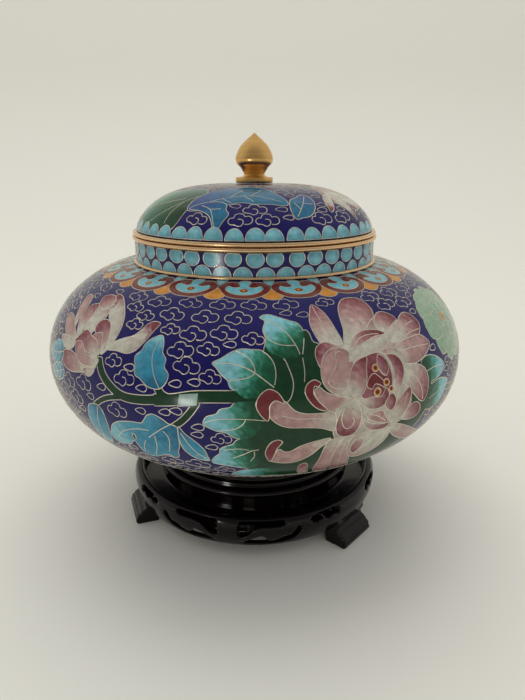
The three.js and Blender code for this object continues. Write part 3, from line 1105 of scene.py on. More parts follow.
@dataclass(frozen=True)
class GiltBrass:
    """Brass, turned, drawn or rolled, gilded and worn to a satin shine."""

    name: str = "Brass, turned and gilded"
    colour: str = "#e8ba72"
    roughness: float = 0.3
    dull_size: float = 7.0
    dull_range: Point = (0.75, 1.3)
    turning_marks: float = 0.0
    # Marks of the lathe are about 0.1 mm apart, and are drawn coarser to show
    mark_pitch: float = 0.9
    drawn_out: tuple[float, float, float] = (0.02, 0.02, 1.0)

    def make(self) -> bpy.types.Material:
        """Makes the material.

        Returns:
            The brass.
        """
        # A warm gold that mirrors softly, uneven where hands have dulled it, with rings from the lathe
        material, place = start_material(self.name)
        tree = material.node_tree
        patches = {"Vector": place, "Scale": 1 / (self.dull_size * MM), "Detail": 3.0}
        dull = add_node(tree, "ShaderNodeTexNoise", patches).outputs[0]
        low, high = (self.roughness * share for share in self.dull_range)
        rough = add_node(tree, "ShaderNodeMapRange", {0: dull, 1: 0.3, 2: 0.7, 3: low, 4: high})
        rings = add_node(tree, "ShaderNodeMapping", {"Vector": place, "Scale": self.drawn_out})
        lathe = {"Vector": rings.outputs[0], "Scale": 1 / (self.mark_pitch * MM), "Detail": 3.0}
        mark = add_node(tree, "ShaderNodeTexNoise", lathe).outputs[0]
        darkest = 1.0 - self.turning_marks
        shade = add_node(tree, "ShaderNodeMapRange", {0: mark, 1: 0.35, 2: 0.65, 3: darkest, 4: 1.0})
        ringed = {0: 1.0, 6: linear(self.colour), 7: shade.outputs[0]}
        colour = add_node(tree, "ShaderNodeMix", ringed, data_type="RGBA", blend_type="MULTIPLY")
        surface = {"Base Color": colour.outputs[2], "Metallic": 1.0, "Roughness": rough.outputs[0]}
        metal = add_node(tree, "ShaderNodeBsdfPrincipled", surface)
        add_node(tree, "ShaderNodeOutputMaterial", {"Surface": metal.outputs[0]})
        return material


@dataclass(frozen=True)
class LacqueredWood:
    """Close-grained hardwood, carved, stained nearly black and lacquered."""

    name: str = "Hardwood, carved, stained and lacquered"
    dark: str = "#040202"
    warm: str = "#0f0605"
    roughness: float = 0.17
    gloss: float = 0.17
    coat: float = 0.16
    coat_roughness: float = 0.05
    # The grain is finer on the real stand, and is drawn coarser to show
    grain_width: float = 1.6
    drawn_out: tuple[float, float, float] = (0.12, 1.0, 1.0)

    def make(self) -> bpy.types.Material:
        """Makes the material.

        Returns:
            The wood.
        """
        # Almost black, with a red-brown glow where light grazes it, under a wet-looking coat
        material, place = start_material(self.name)
        tree = material.node_tree
        fibres = add_node(tree, "ShaderNodeMapping", {"Vector": place, "Scale": self.drawn_out})
        streaks = {"Vector": fibres.outputs[0], "Scale": 1 / (self.grain_width * MM), "Detail": 3.0}
        grain = add_node(tree, "ShaderNodeTexNoise", streaks).outputs[0]
        share = add_node(tree, "ShaderNodeMapRange", {0: grain, 1: 0.35, 2: 0.7, 3: 0.0, 4: 1.0})
        stain = {0: share.outputs[0], 6: linear(self.dark), 7: linear(self.warm)}
        colour = add_node(tree, "ShaderNodeMix", stain, data_type="RGBA")
        surface = {
            "Base Color": colour.outputs[2], "Roughness": self.roughness, "Specular IOR Level": self.gloss,
            "Coat Weight": self.coat, "Coat Roughness": self.coat_roughness,
        }
        gloss = add_node(tree, "ShaderNodeBsdfPrincipled", surface)
        add_node(tree, "ShaderNodeOutputMaterial", {"Surface": gloss.outputs[0]})
        return material


@dataclass(frozen=True)
class PaleFloor:
    """Matt pale paint."""

    name: str = "Paint, pale and matt"
    colour: str = "#efeee7"
    roughness: float = 0.7

    def make(self) -> bpy.types.Material:
        """Makes the material.

        Returns:
            The paint.
        """
        # Flat and even, with no gloss to draw the eye
        material = bpy.data.materials.new(self.name)
        material.use_nodes = True
        paint = material.node_tree.nodes["Principled BSDF"]
        paint.inputs["Base Color"].default_value = linear(self.colour)
        paint.inputs["Roughness"].default_value = self.roughness
        paint.inputs["Specular IOR Level"].default_value = 0.0
        return material


class Finishes:
    """The finishes that the pieces share."""

    def __init__(self) -> None:
        """Makes each finish once."""
        self.enamel = FiredEnamel().make()
        self.brass = GiltBrass(roughness=0.31, turning_marks=0.16).make()
        self.wire = GiltBrass("Brass wire, drawn and gilded", "#dcd3c2", 0.34).make()
        self.rim = GiltBrass("Brass band, rolled and worn", "#e4be93", 0.24).make()
        self.wood = LacqueredWood().make()
        self.floor = PaleFloor().make()


def deliver(piece: bpy.types.Object, slot: Slot, *nodes: str) -> None:
    """Hands a finished piece to the frame.

    Args:
        piece: the finished piece.
        slot: its material slot; not used.
        nodes: solids that it stands for, if any.
    """
    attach(piece, BODY)
    if nodes:
        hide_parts(*nodes)
    piece.data.calc_loop_triangles()
    LOG.info("%s: %d triangles", piece.name, len(piece.data.loop_triangles))


# Pictures on the jar and the lid


@dataclass
class BellyPicture(Drawing):
    """Chrysanthemum sprays on the belly, under a border of scrolled heads."""

    border_units: int = 20
    border_centre: float = -5.9

    # The border's wedge and lappet, and the right halves of its bowl and head
    WEDGE = ((-3.8, 78.6), (0, 70), (3.8, 78.6))
    LAPPET = (
        (0, 65.5), (3.2, 61), (5.8, 57.4), (3.2, 54.8), (0, 54), (-3.2, 54.8), (-5.8, 57.4), (-3.2, 61),
    )
    BOWL = (
        (0, 54.9), (6.5, 55.7), (11.4, 58.6), (14.5, 62.6), (15.5, 66.8), (14, 71.4), (9.6, 75.4),
        (4.4, 75),
    )
    HEAD = (
        (0, 58.4), (5, 59.2), (9, 61.8), (11, 65.4), (9.6, 68.4), (7, 66.8), (3.6, 66.8), (2.6, 69.2),
        (3.9, 73), (3, 77.4),
    )
    # Width and route of each stem
    STEMS = (
        (3.5, (-66, 17), (-62, 11), (-56, 6.6), (-50, 4.5), (-42, 4.8), (-35, 6)),
        (4.4, (-38, 5.4), (-29.5, 6.6), (-20, 8.6), (-4, 9.4)),
        (2.2, (-50, 4.4), (-57, 2.8), (-62, 0.6), (-67, -3)),
        (2.6, (-20, 7), (-22.6, 3), (-26, -1), (-31, -5)),
        (3.2, (-30, 6.6), (-34, 8), (-36, 11)),
    )
    # Petals and leaves: outline, where the colours start and end, colours, and wires
    SIDE_PETALS = (
        ([(-104, 41), (-100, 42), (-96, 40), (-93, 35), (-92, 28), (-91.5, 24), (-94, 25.5), (-98, 30),
         (-101.5, 35)], (-93, 26), (-101, 42), PALE_PETAL),
        ([(-107, 27.5), (-103, 29), (-98, 28), (-92, 25), (-86.5, 21), (-86, 19.5), (-91, 20), (-97, 20),
         (-103, 23)], (-88, 20.5), (-107, 27), PALE_PETAL),
        ([(-101, 18.5), (-96, 19.6), (-90, 20), (-85, 19.4), (-86, 16), (-92, 14.6), (-97, 15.5)],
         (-86, 18), (-101, 18), SNOW_PETAL),
        ([(-92, 36), (-88, 39), (-84.5, 38.5), (-83.6, 33), (-83.3, 27), (-85.3, 20.4), (-89, 25),
         (-92, 30)], (-85, 22), (-88, 39), BLUSH_PETAL),
        ([(-88, 44), (-84, 46.5), (-79, 46.5), (-76, 43), (-75.6, 38), (-79, 36.6), (-83.6, 37.6),
         (-86, 40)], (-77, 38), (-85, 46), DARK_PETAL),
        ([(-84, 38), (-79, 36.8), (-75, 38.5), (-73, 34), (-74, 29), (-77.5, 24), (-82, 24), (-84, 28),
         (-83.7, 33)], (-79, 27), (-78, 39), SNOW_PETAL),
        ([(-65.5, 18), (-61.6, 22), (-60.2, 26), (-60.2, 31), (-62, 36), (-65, 40), (-69, 44), (-74, 47.5),
         (-78.4, 48.5), (-79, 46.5), (-76, 44), (-75, 39), (-72, 35), (-68, 31), (-66, 26)], (-64, 22),
         (-78, 48.5), WHITE_PETAL),
        ([(-75.5, 30), (-74, 32.2), (-70.5, 33), (-67, 31), (-65.2, 27), (-64.4, 22), (-66, 18), (-69, 21),
         (-73, 25), (-75.4, 27.4)], (-65.5, 20), (-75.5, 30), DARK_PETAL),
        ([(-73.6, 25.4), (-69.6, 26.6), (-67.6, 23.6), (-66.4, 19), (-67.5, 17), (-71, 19), (-75, 23)],
         (-67, 18), (-72, 26), PALE_PETAL),
        ([(-94.5, 12), (-92, 14), (-86, 15), (-80, 14), (-73, 12.5), (-66.5, 13), (-70, 10), (-76, 8.4),
         (-83, 7), (-89, 7.5), (-93, 9.5)], (-68, 12), (-94, 11), BLUSH_PETAL),
        ([(-85.6, 19.6), (-83.5, 23.5), (-81, 25.8), (-78, 25.5), (-75, 24), (-71, 23), (-68.4, 20),
         (-67, 16.6), (-70, 16), (-74, 17), (-78, 18), (-82, 18.4)], (-68, 17.5), (-84, 23.5), DARK_PETAL),
        ([(-84.6, 19), (-80.6, 20.4), (-77, 18), (-74, 16.2), (-69, 15.6), (-65.6, 15.5), (-67.6, 12.6),
         (-73, 11.8), (-78, 12.4), (-82, 15)], (-67, 14), (-83, 19), PALE_PETAL),
        ([(-74.4, 10), (-71, 8.1), (-68.4, 9), (-67, 11.8), (-71, 11.6)], (-68, 11), (-73, 9), SNOW_PETAL),
        ([(-64.6, 20.6), (-60, 24.5), (-56, 26.8), (-52, 28.5), (-49.5, 31.5), (-47, 35.5), (-44.5, 36.8),
         (-41.4, 36), (-43, 32), (-45, 27.5), (-48, 23), (-52, 20.8), (-57, 21), (-61, 20.6)], (-60, 22),
         (-44, 36.5), WHITE_PETAL),
    )
    SIDE_LEAVES = (
        ([(-63, -3.2), (-66.5, -2.2), (-71, -4), (-73, -9), (-74, -15), (-72, -22), (-67, -24),
         (-63.5, -19), (-61.5, -12), (-61.5, -7)], (-65, -3), (-69, -24), BLUE_LEAF, [(-65, -3),
         (-67, -10), (-69.5, -20)]),
        ([(-28, -4), (-31.5, -2.8), (-34, -1.2), (-37.5, 0), (-40, -0.8), (-41.6, -3), (-43, -4.6),
         (-47, -5), (-51, -5.7), (-55, -7), (-58.5, -9.5), (-60.5, -13), (-62, -15.5), (-61, -19),
         (-57, -19.5), (-52, -18), (-49.4, -15), (-48.2, -16.5), (-47.5, -20.5), (-45, -23.5), (-41, -23),
         (-37, -20.5), (-34.5, -19.5), (-32, -21), (-30, -19.5), (-29.5, -16), (-28.4, -13), (-28, -9)],
         (-30, -6), (-56, -17), BLUE_LEAF, [(-29, -2), (-35, -6), (-41, -11)], [(-40, -7.4), (-46, -8),
         (-53, -11), (-58, -16)], [(-43, -13), (-45, -17), (-46, -21)], [(-38, -9.4), (-38.4, -15),
         (-41, -21.6)], [(-34, -6.4), (-32, -10), (-33.4, -17)]),
        ([(-27.6, -3.4), (-25.5, -6), (-22.5, -8.5), (-20.5, -10.5), (-18.5, -13.5), (-17.8, -17),
         (-17.4, -19.8), (-20, -20), (-23.5, -18.5), (-26.5, -15), (-27.6, -11.5), (-28, -8)], (-27, -5),
         (-18, -19.5), BLUE_LEAF, [(-27, -6), (-23, -13.6), (-18.6, -18.6)]),
        ([(-38.4, 30.6), (-42, 29), (-44.5, 26.5), (-45.5, 23), (-47.6, 20.5), (-46.6, 16.5), (-46, 13.6),
         (-43.5, 12.4), (-41.5, 11), (-39, 9.8), (-35, 9.8), (-32.5, 12.5), (-32, 15.5), (-34, 18),
         (-34, 21), (-36, 23.5), (-36.5, 27)], (-36, 11), (-39.5, 30), BLUE_LEAF, [(-38.8, 29), (-40, 22),
         (-38, 15), (-35, 10)]),
    )
    GREEN_MASS = (
        (-6, 11.4), (0, 14), (3, 24), (5, 30), (12, 33), (20.4, 34.8), (22.6, 33.2), (23.8, 29), (30, 27),
        (40, 20), (60, 14), (74, 10), (78, 2), (76, -8), (72, -16), (66, -24), (60, -32), (50, -38),
        (36, -40), (20, -38), (8, -36), (-3, -25.4), (-1, -20), (-1, -10), (-4, -6.9), (-1, 0), (-6, 7.2),
    )
    GREEN_WIRES = (
        [(18.2, 23), (18.4, 18), (18, 14)],
        [(8, 24.6), (11, 23), (12.4, 20), (14, 14), (13, 9), (11, 6.6)],
    )
    GREEN_LEAVES = (
        ([(2.4, 42), (4, 43.6), (7, 43.8), (11, 42), (15, 40.2), (18.5, 38.5), (20.2, 35), (20, 30.5),
         (18.5, 24.5), (13, 22.6), (9, 24), (6, 25.5), (4.2, 28.5), (4.5, 31.5), (3.5, 35.5), (4.5, 40)],
         (17, 23), (6, 42), GREEN_LEAF, [(4.5, 41), (9.5, 38), (13.5, 33.5), (16.5, 27.5), (18, 22)],
         [(4, 34), (6.5, 30.5), (11, 28.5), (16, 28.2)], [(20, 31), (19.2, 27.4), (18.4, 24.4)]),
        ([(-15.6, 21.2), (-12.5, 23), (-8.5, 25.8), (-5, 27), (-1, 26.8), (2.5, 26.5), (5.5, 24.5),
         (7.6, 21), (8, 17), (7.3, 13), (5, 11), (2, 9.4), (-2.5, 8.7), (-5, 10), (-6.6, 11.4),
         (-8.6, 12.6), (-9.6, 15), (-12, 17), (-14, 19.4)], (8, 12.6), (-14, 22), GREEN_LEAF, [(-15, 21.2),
         (-9, 21.2), (-4, 20), (0, 18), (5, 14.2), (7, 12.6)], [(-7, 26.2), (-3, 24.2), (-0.5, 21),
         (0.2, 18), (-2, 16.2), (-6, 15.3), (-9.4, 15)], [(3, 26.2), (5.4, 24.3), (7.3, 21), (7.8, 17),
         (7.2, 13.4)]),
        ([(-18.2, -1.4), (-17, 1.5), (-13.5, 2.8), (-12, 4.6), (-8.5, 5.5), (-7, 7), (-3.5, 7.6), (2, 7),
         (4, 1), (0, -5), (-2, -6.5), (-6, -6.7), (-8.5, -5.5), (-10, -4.5), (-13.5, -3.8), (-16, -2.8)],
         (3, 1), (-17, -0.5), GREEN_LEAF, [(-17.6, -0.8), (-13, 0.8), (-6, 1.2), (0, 1), (3.6, 0.6)],
         [(-12, -3.6), (-7, -2.8), (-4, -0.8), (-3, 1.2)]),
        ([(-16.6, -21), (-15.5, -17.5), (-13, -14.5), (-12.6, -12), (-10, -10.3), (-8, -9.5), (-6, -7.2),
         (-2, -6.5), (2, -10), (2, -20), (-1, -24.6), (-5, -24.6), (-9, -23.5), (-13, -22.6)], (2, -14),
         (-16, -19), GREEN_LEAF, [(-11, -12.6), (-6, -11.6), (-2, -12.2)], [(-8, -17), (-4, -14.6),
         (-1, -12.6), (1.6, -12)], [(0, -13), (0, -16), (-1.5, -19)]),
        ([(-10, -33), (-6, -28), (0, -25.4), (6, -25), (12, -26), (14, -30), (10, -36), (0, -37),
         (-7, -36)], (12, -31), (-9, -33), GREEN_LEAF),
        ([(72, 13.4), (76, 15), (81, 14.4), (86, 12), (90, 8), (86, 5), (80, 4.2), (75, 4.6), (73, 9)],
         (74, 9), (89, 8.6), GREEN_LEAF, [(75, 9), (81, 9.4), (88, 8.4)]),
        ([(75, 2), (82, 3.6), (88, 3), (94, 0), (90, -6), (84, -9), (77, -8), (74, -3)], (76, -3),
         (92, -2), GREEN_LEAF, [(77, -3), (84, -2), (92, -1)]),
    )
    FLOWER_PETALS = (
        ([(36, 27), (45, 30), (55, 31), (66, 31), (66, 14), (64, 6), (64, -4), (56, -9), (40, -10),
         (30, -9), (29, 2), (33, 7), (25, 14), (27, 24)], (45, 10), (60, 28), SNOW_PETAL),
        ([(28, 49.2), (25.6, 44), (24, 38), (25.2, 31), (28, 27), (35.6, 26.4), (34.6, 34), (33.4, 40),
         (31.6, 45)], (33, 27), (27.5, 49), BLUSH_PETAL, [(28, 48), (29, 40), (32.4, 28)]),
        ([(36.5, 27), (38, 33), (39, 40), (41, 46), (45, 50.5), (50, 51.6), (55, 50.2), (57.6, 46),
         (58, 41.5), (56.2, 37), (55, 33), (51, 29), (43, 28)], (43, 25), (52, 52.4), BLUSH_PETAL,
         [(47, 30), (52, 35), (56, 37)]),
        ([(54, 32.5), (56, 36.4), (59, 39), (62.5, 39.4), (66, 37.6), (68.4, 34), (65, 31.5), (60, 29.5),
         (56, 29.5)], (57, 30), (64, 39.5), DARK_PETAL),
        ([(58, 25.5), (66, 31), (71, 34.6), (76, 36.2), (80, 33.8), (81.6, 29.2), (79, 25.5), (74, 23.6),
         (66, 22.6)], (62, 25), (80.5, 32), BLUSH_PETAL, [(64, 27), (71, 30), (78, 31)], [(66, 24.6),
         (72, 26.4), (79, 26.6)]),
        ([(58, 20), (62, 23.4), (70, 24.4), (77, 24.4), (80.6, 21.8), (81.8, 19), (76, 15.4), (68, 13.8),
         (61, 15.2)], (60, 19), (81, 20), PALE_PETAL, [(60, 20), (70, 20.2), (80.5, 19.2)]),
        ([(58, 10), (60, 14.6), (66, 14.2), (71, 12.6), (74.2, 10), (75.6, 5.5), (75, 0), (73, -2.6),
         (70, -1.6), (66, 2), (62, 6)], (60, 11), (74, -1.5), BLUSH_PETAL, [(61, 10.5), (67, 9), (70.5, 4),
         (72, -1.6)]),
        ([(60, -6.6), (63, -3), (67, -1.5), (70.6, -3.4), (71.6, -7), (69, -8.8), (64, -8.6)], (61, -7),
         (70.5, -4), DARK_PETAL),
        ([(55, -8.5), (60, -9.4), (67, -13), (75, -18), (84, -24), (78, -26), (68, -21), (60, -16),
         (56, -12)], (56, -10), (82, -25), PALE_PETAL),
        ([(28, -9.6), (26.4, -14), (26, -20), (25.4, -28), (27.5, -36), (33.5, -36), (32, -26), (31, -18),
         (33.4, -12), (34, -9.4)], (31, -9.5), (29.5, -36), PALE_PETAL),
        ([(34, -9.4), (31.8, -14), (31.6, -22), (33.5, -30), (37, -38), (45, -37), (41.4, -28), (39, -20),
         (37.2, -14), (38.4, -9.6)], (35.5, -10), (41, -37), PALE_PETAL, [(35, -12), (34.6, -18),
         (36.4, -28)]),
        ([(38, -9.8), (36.6, -14), (37.6, -19), (40.6, -23), (46, -24.2), (52, -21), (55.2, -16),
         (55.6, -11), (52, -8.6), (45, -8.6)], (48, -9), (43, -24), SNOW_PETAL, [(52, -10), (52.6, -14),
         (49.6, -18)]),
        ([(40.6, -10.8), (38.4, -13.6), (38.4, -17.4), (40.6, -20), (42.6, -18), (43.4, -14.6),
         (42.6, -11.8)], (43, -11), (39, -20), DARK_PETAL),
        ([(18.2, -25), (20, -22.4), (21.8, -24), (22.6, -29), (24, -34), (19.4, -34)], (22, -36),
         (20, -22), DARK_PETAL),
        ([(28.4, -8.6), (22, -9.4), (17, -11), (13.6, -13.4), (11, -13.4), (9.2, -12), (7.4, -14.6),
         (6, -18.6), (11, -20.8), (16, -20.6), (21, -17.4), (25, -12.6)], (27, -9.4), (4, -17),
         PALE_PETAL),
        ([(10.2, -8.4), (8.4, -7.4), (6, -8.6), (4.5, -11.5), (4.2, -15), (6.2, -19.4), (7.6, -14.6),
         (8.2, -12), (9.4, -10)], (6, -19), (8.6, -8), PETAL_CAP),
        ([(29, 2), (24, 2.2), (18, 2.6), (14, 4.2), (11, 7.4), (8, 8), (5.6, 6.2), (5.2, 2.6), (8, -0.6),
         (12, -2.3), (18, -2.8), (24, -3.6), (29.4, -5.2)], (29, -1), (2, 6), PALE_PETAL, [(28, -0.6),
         (22, 0.4), (15, 0.9), (9.5, 2.4)]),
        ([(10.6, 6.8), (8.6, 10.4), (5.4, 12), (2.4, 10.4), (0.6, 7), (1.6, 3.6), (4.6, 0.4), (5.4, 3),
         (5.4, 6), (7.4, 7.9)], (5, -4), (5, 12), PETAL_CAP),
        ([(36, 6.4), (31, 7.6), (26, 9.6), (23.4, 11.8), (21.6, 10.4), (22.6, 7.4), (25, 4), (28, 2.6),
         (32, 4.4)], (36, 6), (19, 11), PALE_PETAL),
        ([(24, 13.2), (21.6, 14.5), (18.9, 13), (18.1, 10), (20, 6.4), (23, 3.8), (26.4, 3), (23.4, 6.2),
         (21.3, 9.4), (21.6, 12.2), (23, 12)], (28, 2), (22, 14), PETAL_CAP),
        ([(23.3, 23.6), (24.5, 27), (28, 28.7), (31.6, 27.2), (34.8, 25), (30, 22), (26, 18),
         (24.2, 19.6)], (33, 22), (25, 27.5), DARK_PETAL),
        ([(36, 24.8), (31, 25.6), (27.4, 24), (25.2, 20.4), (24.5, 16), (25.5, 12), (28.5, 9), (33, 7),
         (36.4, 6.6), (36, 12), (37, 16), (38, 20)], (35, 9), (26, 26), PALE_PETAL, [(34, 24.3),
         (31.2, 23.4), (31, 19.6), (29, 16.6), (27, 13.6), (28.6, 11), (33, 10.2)]),
        ([(36.5, 20), (38.4, 24), (42, 26), (46, 27), (52, 25.6), (58, 22.6), (50, 22.4), (44, 22),
         (40, 20.5)], (40, 21), (60, 24), SNOW_PETAL),
        ([(37.5, 22.6), (40, 28), (45, 31.3), (50, 31.8), (55, 30.6), (57.4, 28.4), (52, 28.4), (47, 27),
         (42, 25)], (38, 23), (53, 32), DARK_PETAL, [(40, 25.4), (44, 28.6), (49, 29.6), (54, 29.2)]),
        ([(46, 23.4), (52, 22.6), (58, 25), (63, 28.5), (68.4, 33.4), (62, 31), (56, 28.2), (50, 26.2)],
         (48, 24), (72, 35), SNOW_PETAL),
        ([(52, 22), (57, 22.5), (61, 20.5), (63.4, 17), (61.8, 14), (59.5, 15.5), (57, 19), (54, 20)],
         (60, 15), (54, 22), SNOW_PETAL),
        ([(54, 20), (58, 19.4), (60.6, 16.5), (60.9, 12), (59, 8), (56.5, 5.8), (54.6, 9), (55.8, 13),
         (55, 17)], (54, 10), (61, 14), DARK_PETAL),
        ([(53, -4), (55, 0), (58, 2.6), (61, 4.6), (63.6, 5.6), (64.4, 2), (62.6, -2.6), (59, -6.6),
         (56, -8.4)], (56, -7), (62.5, 6), BLUSH_PETAL, [(57, -4), (60, -1), (62.4, 3)]),
        ([(36.5, 14), (38, 18), (41, 20), (45, 21.2), (50, 21.6), (53.2, 19), (54.4, 14), (54, 8), (51, 4),
         (45, 4), (40, 6)], (40, 8), (54, 20), HEART),
        ([(50, 20.8), (53, 18.4), (53.6, 15), (51.6, 12.4), (49.4, 14), (48.4, 17)], (46, 14), (53, 18),
         DARK_PETAL),
        ([(35.3, 11), (36, 15.5), (38.5, 19), (42, 20.6), (44.4, 20.5), (43.2, 16.5), (42.6, 12), (41, 8),
         (38, 6.2), (36, 7.4)], (37, 7), (43.5, 21), DARK_PETAL),
        ([(42.5, 9.6), (43.5, 12.4), (46, 14), (48.2, 12.6), (50, 10.6), (50.6, 8), (48, 9.5), (46, 10),
         (44.5, 8.4)], (42, 8), (48, 13), PETAL_CAP),
        ([(38, 6), (40.4, 2.8), (44, 0.8), (48, 0.6), (51, 2.2), (52.4, 5), (51, 7.8), (48.6, 5),
         (45, 5.4), (41.5, 5.2)], (38, 5), (52, 6), BLUSH_PETAL),
        ([(50.4, 1.2), (52, 4), (54, 5.2), (56, 2.6), (55.2, -0.6), (53, -1.6)], (49, 0), (55.5, 3),
         DARK_PETAL),
        ([(40, -1), (42, -3.6), (46, -5.6), (50, -6.6), (53.8, -7), (52, -9), (48, -9), (44, -7.6),
         (41.4, -5)], (41, -2), (53, -8.6), BLUSH_PETAL),
        ([(41, 0.4), (44, -0.8), (49, -0.6), (51, -3), (53.2, -6.6), (50, -6), (46, -4.6), (43, -2.5)],
         (42, 0), (53, -6.6), PALE_PETAL, [(43, -1), (47, -2.4), (51.6, -5.6)]),
        ([(37, 6), (33.4, 4), (30.6, 0), (29.8, -4), (31, -7.6), (34, -8.9), (37.6, -8.3), (39.6, -5),
         (40, -1), (39, 3)], (37.5, 5), (34, -9), BLUSH_PETAL, [(33, 3), (31.8, -1), (33.4, -5), (36, -5),
         (37.2, -2.6), (36.2, -1)]),
    )
    # Place and size of each stamen
    STAMENS = (((47.2, 15.9), 2.8), ((51.4, 9.8), 2.8), ((46.9, 6.9), 3.2), ((53.4, 7), 2.4))

    def draw(self, half_turn: float) -> None:
        """Draws the whole belly: one spray in front, one behind, a small one at each side.

        Args:
            half_turn: half the length of the widest ring.
        """
        self.right_spray()
        self.left_spray()
        for shift, facing in ((0.0, 1.0), (half_turn, -1.0)):
            self.shift, self.facing = shift, facing
            self.main_spray()
        self.facing = 1.0
        self.scroll_border(2 * half_turn / self.border_units)

    def scroll_border(self, pitch: float) -> None:
        """Draws the border below the collar.

        Args:
            pitch: length of one unit.
        """
        for unit_number in range(self.border_units):
            self.shift = self.border_centre + pitch * unit_number
            self.shift -= pitch * self.border_units * (unit_number > self.border_units // 2)
            for outline, tint in ((self.LAPPET, Tint.AMBER), (self.WEDGE, Tint.TURQUOISE)):
                self.patch(spline([(x + pitch / 2, y) for x, y in outline], True, 3), tint)
            for half, tint, joins in ((self.BOWL, Tint.RUST, "scroll"), (self.HEAD, Tint.TURQUOISE, "")):
                mirrored = [(-x, y) for x, y in reversed(half) if x]
                self.patch(spline([*half, *mirrored], True, 3), tint, joins)
            for side in (-1, 1):
                self.patch(ellipse((6.7 * side, 70.2), 7, 5.6, 12), Tint.RUST, "scroll")
            self.patch(ellipse((0, 63), 5, 4.4, 12), Tint.RUST, "dot")
            self.patch(ellipse((0, 63), 2.4, 2.2, 8), Tint.AMBER, "dot")

    def main_spray(self) -> None:
        """Draws a flower seen from its side, its stem and leaves, and the large open flower."""
        for width, *route in self.STEMS:
            self.stem(width, *route)
        pale_bark = np.array([(-27.6, 4.4), (-27, 8.8), (-20, 9.8), (-20.4, 5.4)])
        self.patch(pale_bark, Tint.PALE_JADE, "stem")
        self.forms(self.SIDE_PETALS)
        leafy = {"rim": Tint.SKY, "rim_share": 0.5, "flecks": 0.14}
        self.forms(self.SIDE_LEAVES[:2], **leafy)
        self.patch(ellipse((-48.2, -12.4), 1.6, 3.4, 8), Tint.INK)
        self.forms(self.SIDE_LEAVES[2:], **leafy)
        self.leaf((-93, 13), (-112, 9), 12, BLUE_LEAF, 0.05)
        self.leaf((-90, 6), (-108, 1), 8, BLUE_LEAF, 0.05)
        self.patch(spline(self.GREEN_MASS, True, self.CURVE_STEPS), Tint.BOTTLE_GREEN, "stem")
        self.ribs(*self.GREEN_WIRES)
        self.forms(self.GREEN_LEAVES, rim=Tint.SKY, rim_share=0.0, flecks=0.12, joins="stem")
        self.forms(self.FLOWER_PETALS)
        for centre, size in self.STAMENS:
            self.patch(ellipse(centre, size, size, 10), Tint.AMBER, "stamen")
            self.patch(ellipse(centre, size * 0.55, size * 0.55, 8), Tint.RUST, "stamen")

    def right_spray(self) -> None:
        """Draws the pale green flower at the right."""
        self.shift = 114.0
        self.stem(3.2, (40, -16), (22, -10), (4, 2), (-4, 14))
        self.stem(2.6, (4, 2), (-14, -4), (-26, 0))
        self.leaf((20, -10), (30, 10), 13, BLUE_LEAF)
        self.leaf((8, -4), (4, -26), 13, GREEN_LEAF)
        heart = (-6, 26)
        outer = {"waist": (0.8, 0.3), "rim": Tint.CELADON}
        self.petals(heart, range(-150, 181, 30), (23, 19), 12, CELADON_PETAL, 0.06, **outer)
        self.petals(heart, range(-135, 180, 60), (12, 10), 8, CELADON_PETAL, 0.1, rim=Tint.SEA_GREEN)
        self.patch(ellipse(heart, 5, 5, 10), Tint.AMBER)

    def left_spray(self) -> None:
        """Draws the small spray at the left."""
        self.shift = -156.0
        self.stem(3.2, (-34, -14), (-16, -6), (2, 2), (22, 8), (44, 8))
        self.stem(2.8, (2, 2), (4, 14), (2, 20))
        self.leaf((20, 8), (30, 28), 13, BLUE_LEAF)
        self.leaf((14, 5), (24, -16), 14, BLUE_LEAF)
        self.leaf((-14, -5), (-30, 10), 14, BLUE_LEAF)
        self.leaf((-6, -2), (-10, -26), 14, GREEN_LEAF)
        for angles, length, width in (((150, 30), 20, 9), ((122, 58), 25, 10), ((90,), 27, 12)):
            self.petals((2, 18), angles, (length, length), width, BLUSH_PETAL)
        self.petals((2, 18), (112, 68), (16, 16), 8, PALE_PETAL)


@dataclass
class ScaleRow:
    """A row of round scales on a drawing, standing up or hanging down, cut at half or past it."""

    count: int
    foot: float
    height: float
    fill: float
    hangs: bool = False
    phase: float = 0.5
    past_half: float = 0.0

    POINTS = 15
    UNEVEN_PLACE, UNEVEN_WIDTH, UNEVEN_HEIGHT = (-0.05, 0.05), (0.94, 1.03), (0.93, 1.04)
    SPINE = (0.35, 0.45)

    def draw(self, drawing: Drawing, half_turn: float) -> None:
        """Draws the row, a little uneven as set by hand.

        Args:
            drawing: what it is drawn on.
            half_turn: half the length of the reference ring.
        """
        draw = np.random.default_rng(SEED + self.count + int(self.hangs))
        pitch = 2 * half_turn / self.count
        turned = np.linspace(-self.past_half, math.pi + self.past_half, self.POINTS)
        side, up = np.cos(turned), np.sin(turned)
        up = (up - up.min()) / (1 - up.min())
        edge = {"rim": Tint.DEEP_LAGOON, "rim_share": 0.5, "flecks": 0.1}
        for k in range(self.count):
            centre = -half_turn + (k + self.phase + draw.uniform(*self.UNEVEN_PLACE)) * pitch
            width = pitch * self.fill * draw.uniform(*self.UNEVEN_WIDTH)
            rise = self.height * draw.uniform(*self.UNEVEN_HEIGHT) * (-1 if self.hangs else 1)
            outline = np.stack([centre + side * width / 2, self.foot + up * rise], axis=1)
            spine = np.array([(centre, self.foot + rise * share) for share in self.SPINE])
            drawing.add(outline, spine, width / 2, ((0.0, Tint.TURQUOISE), (1.0, Tint.SKY)), **edge)


